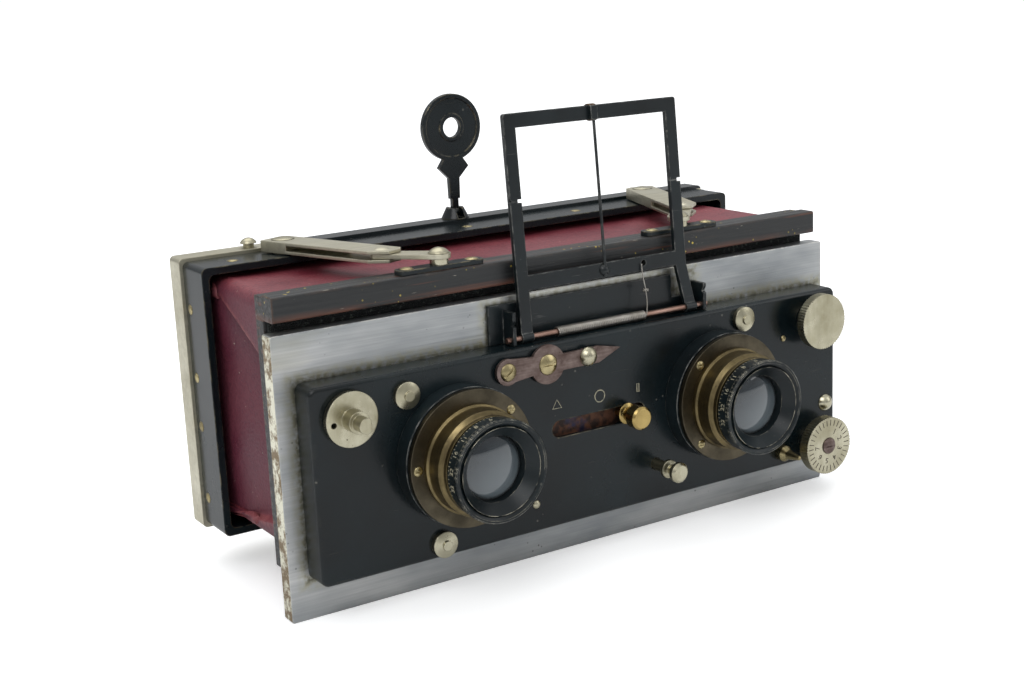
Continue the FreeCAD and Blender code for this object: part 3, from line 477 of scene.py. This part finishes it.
def clothMaterial():
    # black cloth strip: a fine weave with pale dust caught in it
    look = {"black": (0.008, 0.01, 0.01, 1), "lint": (0.12, 0.14, 0.12, 1), "weave": 900.0, "uneven": 1.5}
    material, g, shader = startMaterial("black_cloth")
    place = g.coordinates()
    yarn = {"Vector": place, "Scale": look["weave"], "Distortion": look["uneven"]}
    warp = g.add("TexWave", yarn, bands_direction="X").outputs[1]
    weft = g.add("TexWave", yarn, bands_direction="Z").outputs[1]
    weave = g.math("MULTIPLY", warp, weft)
    lint = g.span(g.noise(place, 1400.0), 0.56, 0.66)
    color = g.mix(g.math("MULTIPLY", lint, 0.5), look["black"], look["lint"])
    bump = g.add("Bump", {"Strength": 0.9, "Distance": 0.0003, "Height": weave})
    g.fill(shader, {"Base Color": color, "Roughness": 0.92, "Normal": bump.outputs[0]})
    return material


def lensMaterial(node):
    # coated glass whose colour holds a painted reflection: paler low down, with a painted dark ring at its
    # rim
    look = {"deep": (0.01, 0.016, 0.022, 1), "bright": (0.13, 0.155, 0.17, 1), "reflectionMottle": (0.08, 0.1, 0.11, 1),
            "rim": (0.008, 0.01, 0.011, 1), "lean": 0.6, "glow": (-0.8, 0.9), "rimRun": (0.86, 0.97)}
    low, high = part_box(node)
    radius = (high.x - low.x) / 2
    material, g, shader = startMaterial("coated_glass_" + node)
    offset = g.add("VectorMath", {0: g.coordinates(), 1: middleOf(node)}, operation="SUBTRACT").outputs[0]
    parts = g.add("SeparateXYZ", {0: offset}).outputs
    flat = g.add("CombineXYZ", {"X": parts["X"], "Z": parts["Z"]}).outputs[0]
    reach = g.add("VectorMath", {0: flat}, operation="LENGTH").outputs["Value"]
    # painted reflection: paler towards the lower right, darker towards the upper left
    lean = g.math("SUBTRACT", g.math("MULTIPLY", parts["X"], look["lean"]), parts["Z"])
    glow = g.span(lean, look["glow"][0] * radius, look["glow"][1] * radius)
    # painted reflection, mottled in places
    reflectionMottle = g.span(g.noise(g.coordinates(), 260.0), 0.4, 0.7)
    color = g.mix(glow, look["deep"], look["bright"])
    color = g.mix(g.math("MULTIPLY", reflectionMottle, 0.25), color, look["reflectionMottle"])
    # painted reflection: a dark ring just inside the rim
    rim = g.span(reach, look["rimRun"][0] * radius, look["rimRun"][1] * radius)
    color = g.mix(rim, color, look["rim"])
    g.fill(shader, {"Base Color": color, "Roughness": 0.04, "IOR": 1.52, "Transmission Weight": 0.12,
                    "Coat Weight": 1.0, "Coat Roughness": 0.02})
    return material


def groundGlassMaterial():
    # the focusing screen: a grey-white, finely ground face
    look = {"pale": (0.62, 0.66, 0.66, 1), "grey": (0.48, 0.52, 0.53, 1)}
    material, g, shader = startMaterial("ground_glass")
    grind = g.noise(g.coordinates(), 5000.0)
    cloud = g.noise(g.coordinates(), 60.0)
    color = g.mix(cloud, look["pale"], look["grey"])
    bump = g.add("Bump", {"Strength": 0.4, "Distance": 0.00005, "Height": grind})
    g.fill(shader, {"Base Color": color, "Roughness": 0.42, "Normal": bump.outputs[0]})
    return material


def rustyMaterial():
    # the blade behind the slot: rust with blued spots left in it
    look = {"rust": (0.13, 0.055, 0.03, 1), "dark": (0.03, 0.016, 0.012, 1), "blue": (0.014, 0.018, 0.06, 1)}
    material, g, shader = startMaterial("rusty_steel")
    place = g.coordinates()
    color = g.mix(g.span(g.noise(place, 700.0), 0.4, 0.6), look["rust"], look["dark"])
    blued = g.span(g.noise(place, 210.0), 0.55, 0.66)
    color = g.mix(blued, color, look["blue"])
    bump = g.add("Bump", {"Strength": 0.4, "Distance": 0.0001, "Height": g.noise(place, 1500.0)})
    g.fill(shader, {"Base Color": color, "Roughness": g.span(blued, 0.0, 1.0, 0.6, 0.35), "Metallic": 0.4,
                    "Normal": bump.outputs[0]})
    return material


def threadMaterial():
    # brown thread, darker between its strands
    look = {"dark": (0.05, 0.03, 0.02, 1), "light": (0.15, 0.09, 0.05, 1), "strands": (4000.0, 900.0, 900.0)}
    material, g, shader = startMaterial("brown_thread")
    strands = g.use(streaks, {"Stretch": look["strands"]})["Mask"]
    g.fill(shader, {"Base Color": g.mix(strands, look["dark"], look["light"]), "Roughness": 0.85})
    return material


def markFill(name, look):
    # filling left in engraved marks, uneven with age
    material, g, shader = startMaterial(name)
    age = g.span(g.noise(g.coordinates(), 1500.0), look["spread"][0], look["spread"][1])
    g.fill(shader, {"Base Color": g.mix(age, look["fresh"], look["aged"]), "Roughness": 0.6})
    return material


# settings of the finishes: the other blacks start from the first, and the other metals from nickel
glossBlack = {"dark": (0.002, 0.004, 0.005, 1), "light": (0.006, 0.012, 0.0145, 1),
              "worn": (0.3, 0.26, 0.17, 1), "smearScale": 45.0, "edge": 0.0004, "gain": 3.0,
              "scratches": 0.05, "rough": (0.16, 0.34), "coat": 0.0, "dust": 0.2,
              "dusty": (0.42, 0.4, 0.34, 1)}
satinBlack = {**glossBlack, "worn": (0.3, 0.3, 0.28, 1), "gain": 4.0, "scratches": 0.2, "rough": (0.32, 0.5),
              "coat": 0.15}
wornBlack = {**glossBlack, "gain": 9.0, "scratches": 0.4, "rough": (0.35, 0.55), "coat": 0.1}
bezelBlack = {**glossBlack, "worn": (0.62, 0.58, 0.46, 1), "edge": 0.0002, "gain": 6.0, "rough": (0.28, 0.45)}
nickel = {"bright": (0.56, 0.53, 0.4, 1), "dull": (0.36, 0.33, 0.22, 1), "dirt": (0.1, 0.08, 0.05, 1),
          "patchScale": 130.0, "brush": (500.0, 500.0, 60.0), "brushTint": 0.22, "edge": 0.00025,
          "edgeBright": 0.6, "rough": (0.2, 0.38), "metallic": 1.0, "bump": 0.12}
railNickel = {**nickel, "bright": (0.66, 0.63, 0.5, 1), "dull": (0.48, 0.45, 0.34, 1), "patchScale": 90.0,
              "brush": (60.0, 900.0, 900.0), "rough": (0.32, 0.5)}
barrelBrass = {**nickel, "bright": (0.27, 0.21, 0.1, 1), "dull": (0.09, 0.07, 0.035, 1),
               "dirt": (0.04, 0.03, 0.02, 1), "patchScale": 160.0, "brush": (300.0, 2600.0, 300.0),
               "brushTint": 0.45, "rough": (0.26, 0.45)}
knobBrass = {**nickel, "bright": (0.5, 0.37, 0.14, 1), "dull": (0.34, 0.24, 0.09, 1), "rough": (0.14, 0.28)}
screwBrass = {**nickel, "bright": (0.52, 0.44, 0.24, 1), "dull": (0.28, 0.23, 0.12, 1)}
flangeBronze = {**nickel, "bright": (0.13, 0.11, 0.075, 1), "dull": (0.05, 0.043, 0.03, 1),
                "dirt": (0.03, 0.025, 0.02, 1), "brush": (400.0, 400.0, 400.0), "edgeBright": 1.0,
                "rough": (0.28, 0.46)}
patinaSteel = {**nickel, "bright": (0.27, 0.21, 0.19, 1), "dull": (0.13, 0.09, 0.08, 1),
               "dirt": (0.05, 0.03, 0.025, 1), "patchScale": 420.0, "brush": (120.0, 2000.0, 2400.0),
               "brushTint": 0.5, "rough": (0.4, 0.6)}
rodCopper = {**nickel, "bright": (0.42, 0.27, 0.22, 1), "dull": (0.24, 0.13, 0.1, 1), "rough": (0.3, 0.5)}
springGrey = {**nickel, "bright": (0.6, 0.58, 0.54, 1), "dull": (0.36, 0.33, 0.29, 1), "rough": (0.3, 0.5)}
paleFilling = {"fresh": (0.42, 0.38, 0.26, 1), "aged": (0.14, 0.14, 0.11, 1), "spread": (0.35, 0.65)}
darkFilling = {"fresh": (0.03, 0.025, 0.02, 1), "aged": (0.1, 0.08, 0.05, 1), "spread": (0.0, 1.0)}

finishes = {
    "gloss_black": lacquer("gloss_black", glossBlack), "satin_black": lacquer("satin_black", satinBlack),
    "worn_black": lacquer("worn_black", wornBlack), "bezel_black": lacquer("bezel_black", bezelBlack),
    "nickel": plated("nickel", nickel), "rail_nickel": plated("rail_nickel", railNickel),
    "barrel_brass": plated("barrel_brass", barrelBrass), "knob_brass": plated("knob_brass", knobBrass),
    "screw_brass": plated("screw_brass", screwBrass), "flange_bronze": plated("flange_bronze", flangeBronze),
    "patina_steel": plated("patina_steel", patinaSteel), "rod_copper": plated("rod_copper", rodCopper),
    "spring_grey": plated("spring_grey", springGrey), "lacquered_rail": railMaterial(),
    "plate": plateMaterial(), "wood": woodMaterial(),
    "leather": leatherMaterial(), "cloth": clothMaterial(), "ground_glass": groundGlassMaterial(),
    "faded_fill": markFill("faded_fill", paleFilling), "dark_fill": markFill("dark_fill", darkFilling),
    "rusty_steel": rustyMaterial(), "brown_thread": threadMaterial(),
}
nodeFinishes = {
    "gloss_black": ["rear_housing", "shutter_case", "screen_frame", "sight_base", "peep_sight"],
    "rusty_steel": ["shutter_blade"],
    "satin_black": ["finder_bracket", "finder_frame", "finder_bow", "sighting_wire", "lens_tube_left",
                    "lens_tube_right"],
    "worn_black": ["strut_brackets"],
    "bezel_black": ["iris_ring_left", "iris_ring_right", "lens_cell_left", "lens_cell_right"],
    "nickel": ["tripod_bush", "latch_button", "rear_pivot_screws", "front_pivot_studs", "panel_studs",
               "winding_spindle", "tension_knob", "focus_knob", "release_button", "lever_dome"],
    "lacquered_rail": ["rear_rails"],
    "rail_nickel": ["strut_" + kind + "_" + corner for kind in ("arm", "link") for corner in corners],
    "barrel_brass": ["lens_barrel_left", "lens_barrel_right"],
    "knob_brass": ["shutter_slider"],
    "screw_brass": ["housing_screws", "bracket_screws", "flange_screws", "lever_screws", "pointer_nipple"],
    "flange_bronze": ["lens_flange_left", "lens_flange_right"],
    "patina_steel": ["lever_arm", "focus_plug"],
    "rod_copper": ["finder_rod"], "spring_grey": ["finder_spring"], "plate": ["front_plate"],
    "wood": ["standard_frame"], "leather": ["bellows"], "cloth": ["light_seal"],
    "ground_glass": ["screen_glass"],
}


def dress(node, material):
    slots = nodeObjects[node].material_slots
    for slot in slots:
        slot.material = material
    if not slots:
        nodeObjects[node].data.materials.append(material)


for finish, names in nodeFinishes.items():
    for name in names:
        dress(name, finishes[finish])
for side in sides:
    dress("lens_glass_" + side, lensMaterial("lens_glass_" + side))
print("materials made and given to the frame")


# bellows

def easedStep(value, low, high):
    # eased step from 0 at low to 1 at high
    t = np.clip((value - low) / (high - low), 0, 1)
    return t * t * (3 - 2 * t)


def makeBellows():
    # a rounded rectangle carried along Y; its sides sink behind a large flap above and a small one below
    look = {"along": 90, "corner": 3.0 * mm, "sink": 7.5 * mm, "sinkRun": (0.1, 0.95), "upper": (0.93, 0.42),
            "lower": (-0.97, -0.78), "flapStart": 0.18, "crease": 0.035, "hollowLeast": 0.4,
            "hollowFade": 0.32, "sag": 0.8 * mm, "thick": 0.8 * mm, "wrinkle": 0.22 * mm,
            "wrinkleWaves": (7, 4), "pleat": 0.5 * mm, "pleatWave": (5.2, 0.8), "foldFade": 0.2,
            "foldRun": (0.1, 0.5), "ridge": 0.03}
    columns = {"body": 40, "over": 14, "under": 8, "arc": 9, "top": 120}
    low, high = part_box("bellows")
    centre = (low + high) / 2
    halfX, halfZ = (high.x - low.x) / 2, (high.z - low.z) / 2
    t = np.linspace(0, 1, look["along"])[:, None]
    y = high.y + (low.y - high.y) * t
    late = np.clip((t - look["flapStart"]) / (1 - look["flapStart"]), 0, 1)
    upper = look["upper"][0] + (look["upper"][1] - look["upper"][0]) * late
    lower = look["lower"][0] + (look["lower"][1] - look["lower"][0]) * late
    top = 1 - look["corner"] / halfZ
    # a side's columns: close together at both flap edges, which keep to the same two columns all along
    near = np.sin(np.linspace(-np.pi / 2, np.pi / 2, columns["body"])) / 2 + 0.5
    body = lower + (upper - lower) * near[None]
    over = upper + (top - upper) * np.linspace(0, 1, columns["over"])[None, 1:]
    under = -top + (lower + top) * np.linspace(0, 1, columns["under"])[None, :-1]
    v = np.concatenate([np.minimum(under, top), body, np.minimum(over, top)], 1)
    sunk = easedStep(upper - v, 0, look["crease"]) * easedStep(v - lower, 0, look["crease"])
    hollow = look["hollowLeast"] + (1 - look["hollowLeast"]) * np.exp(-(upper - v) / look["hollowFade"])
    wave, shift = look["pleatWave"]
    panel = look["pleat"] * np.sin(wave * v + shift) * np.sin(np.pi * t) * sunk
    depth = look["sink"] * easedStep(t, *look["sinkRun"]) * sunk * hollow + panel
    sideX = halfX - np.maximum(depth, 0)
    sideZ = v * halfZ
    arc = np.linspace(0, np.pi / 2, columns["arc"])[None, 1:-1]
    arcX = halfX - look["corner"] * (1 - np.cos(arc)) + 0 * t
    arcZ = halfZ - look["corner"] * (1 - np.sin(arc)) + 0 * t
    across = np.linspace(1, -1, columns["top"])[None]
    flatX = (halfX - look["corner"]) * across + 0 * t
    sag = look["sag"] * np.sin(np.pi * t) * np.cos(np.pi * across / 2) ** 0.5
    wavesX, wavesY = look["wrinkleWaves"]
    wrinkle = np.sin(wavesX * across + wavesY * t) * np.sin(np.pi * t) * (1 - across ** 2)
    flatZ = halfZ - sag - np.abs(look["wrinkle"] * wrinkle)
    x = np.concatenate([sideX, arcX, flatX, -arcX[:, ::-1], -sideX[:, ::-1], -arcX, -flatX, arcX[:, ::-1]], 1)
    z = np.concatenate([sideZ, arcZ, flatZ, arcZ[:, ::-1], sideZ[:, ::-1], -arcZ, -flatZ, -arcZ[:, ::-1]], 1)
    verts = np.stack([centre.x + x, y + 0 * x, centre.z + z], -1).reshape(-1, 3)
    piece = makePiece("bellows_leather", verts, gridFaces(look["along"], x.shape[1], closeColumns=True),
                      finishes["leather"])
    # masks for the leather: painted shadow just below the upper flap, and rubbing along both flap edges
    shade = sunk * np.exp(-(upper - v) / look["foldFade"]) * easedStep(t, *look["foldRun"])
    rub = np.exp(-((v - upper) / look["ridge"]) ** 2) + np.exp(-((v - lower) / look["ridge"]) ** 2)
    count = v.shape[1]
    first = count + arcX.shape[1] * 2 + flatX.shape[1]
    for name, field in (("flapShadow", shade), ("ridge", rub)):
        values = np.zeros(x.shape)
        values[:, :count] = field
        values[:, first:first + count] = field[:, ::-1]
        layer = piece.data.attributes.new(name, "FLOAT", "POINT")
        layer.data.foreach_set("value", values.reshape(-1).astype(np.float32))
    thickness = piece.modifiers.new("thickness", "SOLIDIFY")
    thickness.thickness = look["thick"]
    thickness.offset = -1
    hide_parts("bellows")
    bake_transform(piece)


makeBellows()
print("bellows made")


# finder spring and thread

finderLean = math.radians(4.6)


def makeSpring():
    # a helix round the rod, then a thin leg up to the cross-bar with a small knot in it
    look = {"wire": 0.17 * mm, "coil": 0.87 * mm, "pitch": 0.42 * mm, "endGap": 0.7 * mm, "perTurn": 12,
            "around": 6}
    thin = {"top": 10.6 * mm, "wire": 0.13 * mm, "sway": 0.35 * mm, "swayAngle": 5.0, "points": 40}
    tied = {"radius": 0.5 * mm, "wire": 0.12 * mm, "rise": 0.25 * mm, "waves": 2.5, "turns": 2, "points": 30}
    low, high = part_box("finder_spring")
    rodLow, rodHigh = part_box("finder_rod")
    axisY, axisZ = (rodLow.y + rodHigh.y) / 2, (rodLow.z + rodHigh.z) / 2
    endX = high.x - look["endGap"]
    turns = (endX - low.x) / look["pitch"]
    count = int(turns * look["perTurn"])
    angle = np.linspace(0, 2 * np.pi * turns, count)
    coil = np.stack([low.x + (endX - low.x) * np.linspace(0, 1, count), axisY + look["coil"] * np.cos(angle),
                     axisZ + look["coil"] * np.sin(angle)], -1)
    s = np.linspace(0, 1, thin["points"])
    leanBack = thin["top"] * math.tan(finderLean)
    leg = np.stack([endX + thin["sway"] * np.sin(thin["swayAngle"] * s), axisY - look["coil"] + leanBack * s,
                    axisZ + thin["top"] * s], -1)
    turn = np.linspace(0, 2 * np.pi * tied["turns"], tied["points"])
    knot = leg[thin["points"] // 2 - 1] + np.stack([tied["radius"] * np.cos(turn),
                                                    tied["radius"] * np.sin(turn),
                                                    tied["rise"] * np.sin(tied["waves"] * turn)], -1)
    verts, faces = joinMeshes([tubeAlong(coil, look["wire"], look["around"]),
                               tubeAlong(leg, thin["wire"], look["around"]),
                               tubeAlong(knot, tied["wire"], look["around"])])
    piece = makePiece("spring_wire", verts, faces, finishes["spring_grey"])
    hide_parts("finder_spring")
    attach(piece, "finder")


def makeThread():
    # turns of thread round the bow's top bar, where the wire is tied
    look = {"turns": 5, "perTurn": 60, "spread": 1.5 * mm, "halfDeep": 0.95 * mm, "halfTall": 1.55 * mm,
            "squareness": 0.7, "thread": 0.14 * mm, "around": 6, "barTall": 2.8 * mm,
            "barHalfDeep": 0.55 * mm}
    wireLow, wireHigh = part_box("sighting_wire")
    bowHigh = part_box("finder_bow")[1]
    cosine, sine = math.cos(finderLean), math.sin(finderLean)
    turn = np.linspace(0, 2 * np.pi * look["turns"], look["perTurn"] * look["turns"])
    square = np.maximum(np.abs(np.cos(turn)), np.abs(np.sin(turn))) ** look["squareness"]
    deep = look["halfDeep"] * np.cos(turn) / square
    tall = look["halfTall"] * np.sin(turn) / square
    barY = bowHigh.y - look["barHalfDeep"] - sine * look["barTall"] / 2
    x = (wireLow.x + wireHigh.x) / 2 + look["spread"] * (turn / turn[-1] - 0.5)
    y = barY + deep * cosine + tall * sine
    z = bowHigh.z - look["barTall"] / 2 + tall * cosine - deep * sine
    verts, faces = tubeAlong(np.stack([x, y, z], -1), look["thread"], look["around"])
    piece = makePiece("thread_wrap", verts, faces, finishes["brown_thread"])
    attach(piece, "finder")


makeSpring()
makeThread()
print("spring and thread made")


# scales and marks

def roundY(angle):
    # the directions outward and onward at an angle round an axis along Y
    cosine, sine = np.cos(angle), np.sin(angle)
    return np.stack([cosine, 0 * cosine, sine], -1), np.stack([-sine, 0 * sine, cosine], -1)


def makeFocusScale():
    # radial ticks and plain numerals on the knob's face, which looks along -Y
    look = {"ticks": 30, "inner": 4.5 * mm, "outer": 5.8 * mm, "width": 0.16 * mm, "height": 0.08 * mm,
            "numerals": "1234567", "numeralRadius": 3.3 * mm, "size": 1.7 * mm, "depth": 0.04 * mm,
            "start": 60, "step": 40}
    centre = middleOf("focus_knob")
    along, across = roundY(np.linspace(0, 2 * np.pi, look["ticks"], endpoint=False))
    out = np.tile([0.0, -1.0, 0.0], (look["ticks"], 1))
    face = np.array([centre.x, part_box("focus_knob")[0].y, centre.z])
    reach = (look["inner"] + look["outer"]) / 2
    parts = [tickBoxes(face + along * reach, along, across, out, look["outer"] - look["inner"], look["width"],
                       look["height"])]
    for i, numeral in enumerate(look["numerals"]):
        up, onward = roundY(math.radians(look["start"] - look["step"] * i))
        place = face + up * look["numeralRadius"]
        parts.append(numeralAt(numeral, look["size"], look["depth"], place, -onward, up))
    verts, faces = joinMeshes(parts)
    piece = makePiece("focus_scale", verts, faces, finishes["dark_fill"], smooth=False)
    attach(piece, "focus_control")


def makeIrisScale(side):
    # ticks and numerals round the engraved band, on its upper left
    look = {"numerals": ("6", "8", "11", "16", "22", "32"), "radius": 9.62 * mm, "size": 1.45 * mm,
            "depth": 0.03 * mm, "fromFront": 2.0 * mm, "start": 95.0, "step": 19.0}
    tick = {"count": 24, "perNumeral": 4.0, "lead": 0.25, "fromBack": 0.75 * mm, "sunk": 0.02 * mm,
            "length": 0.45 * mm, "width": 0.1 * mm, "height": 0.06 * mm}
    node = "iris_ring_" + side
    low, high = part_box(node)
    centre = middleOf(node)
    backward = np.array([0.0, 1.0, 0.0])
    parts = []
    for i, numeral in enumerate(look["numerals"]):
        out, onward = roundY(math.radians(look["start"] + look["step"] * i))
        place = np.array([centre.x, low.y + look["fromFront"], centre.z]) + out * look["radius"]
        parts.append(numeralAt(numeral, look["size"], look["depth"], place, -onward, backward))
    steps = np.arange(tick["count"]) / tick["perNumeral"] - tick["lead"]
    out, across = roundY(np.radians(look["start"] + look["step"] * steps))
    along = np.tile(backward, (tick["count"], 1))
    reach = look["radius"] - tick["sunk"]
    middles = np.array([centre.x, high.y - tick["fromBack"], centre.z]) + out * reach
    parts.append(tickBoxes(middles, along, across, out, tick["length"], tick["width"], tick["height"]))
    verts, faces = joinMeshes(parts)
    piece = makePiece("iris_scale_" + side, verts, faces, finishes["faded_fill"], smooth=False)
    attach(piece, "iris_" + side)


def makeSlotMarks():
    # three plain signs over the slot: a triangle, a ring and a narrow bar
    look = {"size": 1.2 * mm, "stroke": 0.22 * mm, "thick": 0.03 * mm, "rise": 4.9 * mm}
    signs = ({"place": -17.0 * mm, "points": 3, "first": np.pi / 2, "narrow": 1.0},
             {"place": -6.7 * mm, "points": 40, "first": np.pi / 2, "narrow": 1.0},
             {"place": 2.8 * mm, "points": 4, "first": np.pi * 3 / 4, "narrow": 0.3})
    centre = middleOf("shutter_slider")
    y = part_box("shutter_case")[0].y - look["thick"]
    parts = []
    for sign in signs:
        turn = np.linspace(0, 2 * np.pi, sign["points"], endpoint=False) + sign["first"]
        x = centre.x + sign["place"] + sign["narrow"] * look["size"] * np.cos(turn)
        z = centre.z + look["rise"] + look["size"] * np.sin(turn)
        parts.append(ribbon(np.stack([x, y + 0 * x, z], -1), look["stroke"], np.array([0.0, -1.0, 0.0])))
    verts, faces = joinMeshes(parts)
    piece = makePiece("slot_marks", verts, faces, finishes["faded_fill"], smooth=False)
    thickness = piece.modifiers.new("thickness", "SOLIDIFY")
    thickness.thickness = look["thick"]
    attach(piece, "front_board")


def makeIndexDot():
    # a small brass pin that the scales are read against, turned as a shallow dome
    look = {"place": (50.1 * mm, 28.2 * mm), "radius": 0.7 * mm, "height": 0.5 * mm, "rings": 8, "around": 24}
    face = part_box("shutter_case")[0].y
    lean = np.linspace(0, np.pi / 2, look["rings"])[:, None]
    turn = np.linspace(0, 2 * np.pi, look["around"], endpoint=False)[None]
    radius = look["radius"] * np.cos(lean)
    x = look["place"][0] + radius * np.cos(turn)
    z = look["place"][1] + radius * np.sin(turn)
    y = face - look["height"] * np.sin(lean) + 0 * turn
    # the last ring would be one point, so the ring before it is closed with a face instead
    verts = np.stack([x, y, z], -1)[:-1].reshape(-1, 3)
    faces = gridFaces(look["rings"] - 1, look["around"], closeColumns=True)
    top = (look["rings"] - 2) * look["around"]
    faces.append(list(range(top, top + look["around"])))
    faces.append(list(range(look["around"] - 1, -1, -1)))
    piece = makePiece("index_pin", verts, faces, finishes["screw_brass"])
    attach(piece, "front_board")


makeFocusScale()
for side in sides:
    makeIrisScale(side)
makeSlotMarks()
makeIndexDot()
print("scales and marks made")


# floor, light and camera

def makeFloor():
    # a wide pale floor at the board's lower edge, which glows only where the camera sees it
    look = {"half": 40.0, "pale": (0.84, 0.85, 0.86, 1), "paler": (0.88, 0.88, 0.88, 1), "glow": 0.4}
    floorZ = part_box("front_plate")[0].z
    corner = look["half"]
    material, g, shader = startMaterial("pale_floor")
    soft = g.noise(g.coordinates(), 6.0)
    seen = g.add("LightPath").outputs["Is Camera Ray"]
    g.fill(shader, {"Base Color": g.mix(soft, look["pale"], look["paler"]), "Roughness": 0.8,
                    "Emission Color": (1, 1, 1, 1)})
    g.tree.links.new(g.math("MULTIPLY", seen, look["glow"]), shader.inputs["Emission Strength"])
    verts = [(-corner, -corner, floorZ), (corner, -corner, floorZ), (corner, corner, floorZ),
             (-corner, corner, floorZ)]
    makePiece("floor", verts, [[0, 1, 2, 3]], material, smooth=False)


def makeWorld():
    # a white surround: dim low down and bright above as light, and even where it is seen
    look = {"color": (0.97, 0.985, 1.0, 1), "light": 0.7, "seen": 1.05, "heights": (-0.1, 0.75),
            "shades": (0.35, 1.25)}
    world = bpy.data.worlds.new("studio")
    bpy.context.scene.world = world
    world.use_nodes = True
    g = Graph(world.node_tree)
    background = world.node_tree.nodes["Background"]
    height = g.add("SeparateXYZ", {0: g.add("TexCoord").outputs["Generated"]}).outputs["Z"]
    shade = g.span(height, *look["heights"], *look["shades"])
    seen = g.add("LightPath").outputs["Is Camera Ray"]
    strength = g.blend(seen, g.math("MULTIPLY", shade, look["light"]), look["seen"])
    g.fill(background, {"Color": look["color"], "Strength": strength})


def makeLamps():
    # square lamps that face the middle of the object
    lamps = {"key": {"place": (-0.7, -0.7, 1.1), "size": 0.9, "power": 7.0},
             "fill": {"place": (1.0, -0.8, 0.6), "size": 0.8, "power": 2.5},
             "top": {"place": (0.1, 0.5, 1.3), "size": 1.2, "power": 6.0}}
    target = (cadLow + cadHigh) / 2
    for name, look in lamps.items():
        lamp = bpy.data.lights.new(name, "AREA")
        lamp.energy = look["power"]
        lamp.size = look["size"]
        holder = bpy.data.objects.new(name, lamp)
        holder.location = look["place"]
        holder.rotation_mode = "QUATERNION"
        holder.rotation_quaternion = (target - Vector(look["place"])).to_track_quat("-Z", "Y")
        bpy.context.scene.collection.objects.link(holder)


def makeCamera():
    # the eye's place, where it looks as azimuth and elevation, and the head's tilt
    look = {"place": (-172.2 * mm, -286.4 * mm, 108.6 * mm), "azimuth": -32.1, "elevation": 13.51,
            "roll": -2.61, "lens": 54.94, "sensor": 36.0, "clip": (0.01, 30.0)}
    a, e, r = (math.radians(look[key]) for key in ("azimuth", "elevation", "roll"))
    back = Vector((math.sin(a) * math.cos(e), -math.cos(a) * math.cos(e), math.sin(e)))
    level = Vector((math.cos(a), math.sin(a), 0))
    upright = back.cross(level)
    right = math.cos(r) * level + math.sin(r) * upright
    up = back.cross(right)
    data = bpy.data.cameras.new("camera")
    data.lens = look["lens"]
    data.sensor_width = look["sensor"]
    data.clip_start, data.clip_end = look["clip"]
    camera = bpy.data.objects.new("camera", data)
    turn = Matrix((right, up, back)).transposed().to_4x4()
    camera.matrix_world = Matrix.Translation(look["place"]) @ turn
    bpy.context.scene.collection.objects.link(camera)
    bpy.context.scene.camera = camera


makeFloor()
makeWorld()
makeLamps()
makeCamera()
bpy.context.scene.view_settings.view_transform = "Standard"
print("studio and camera made")
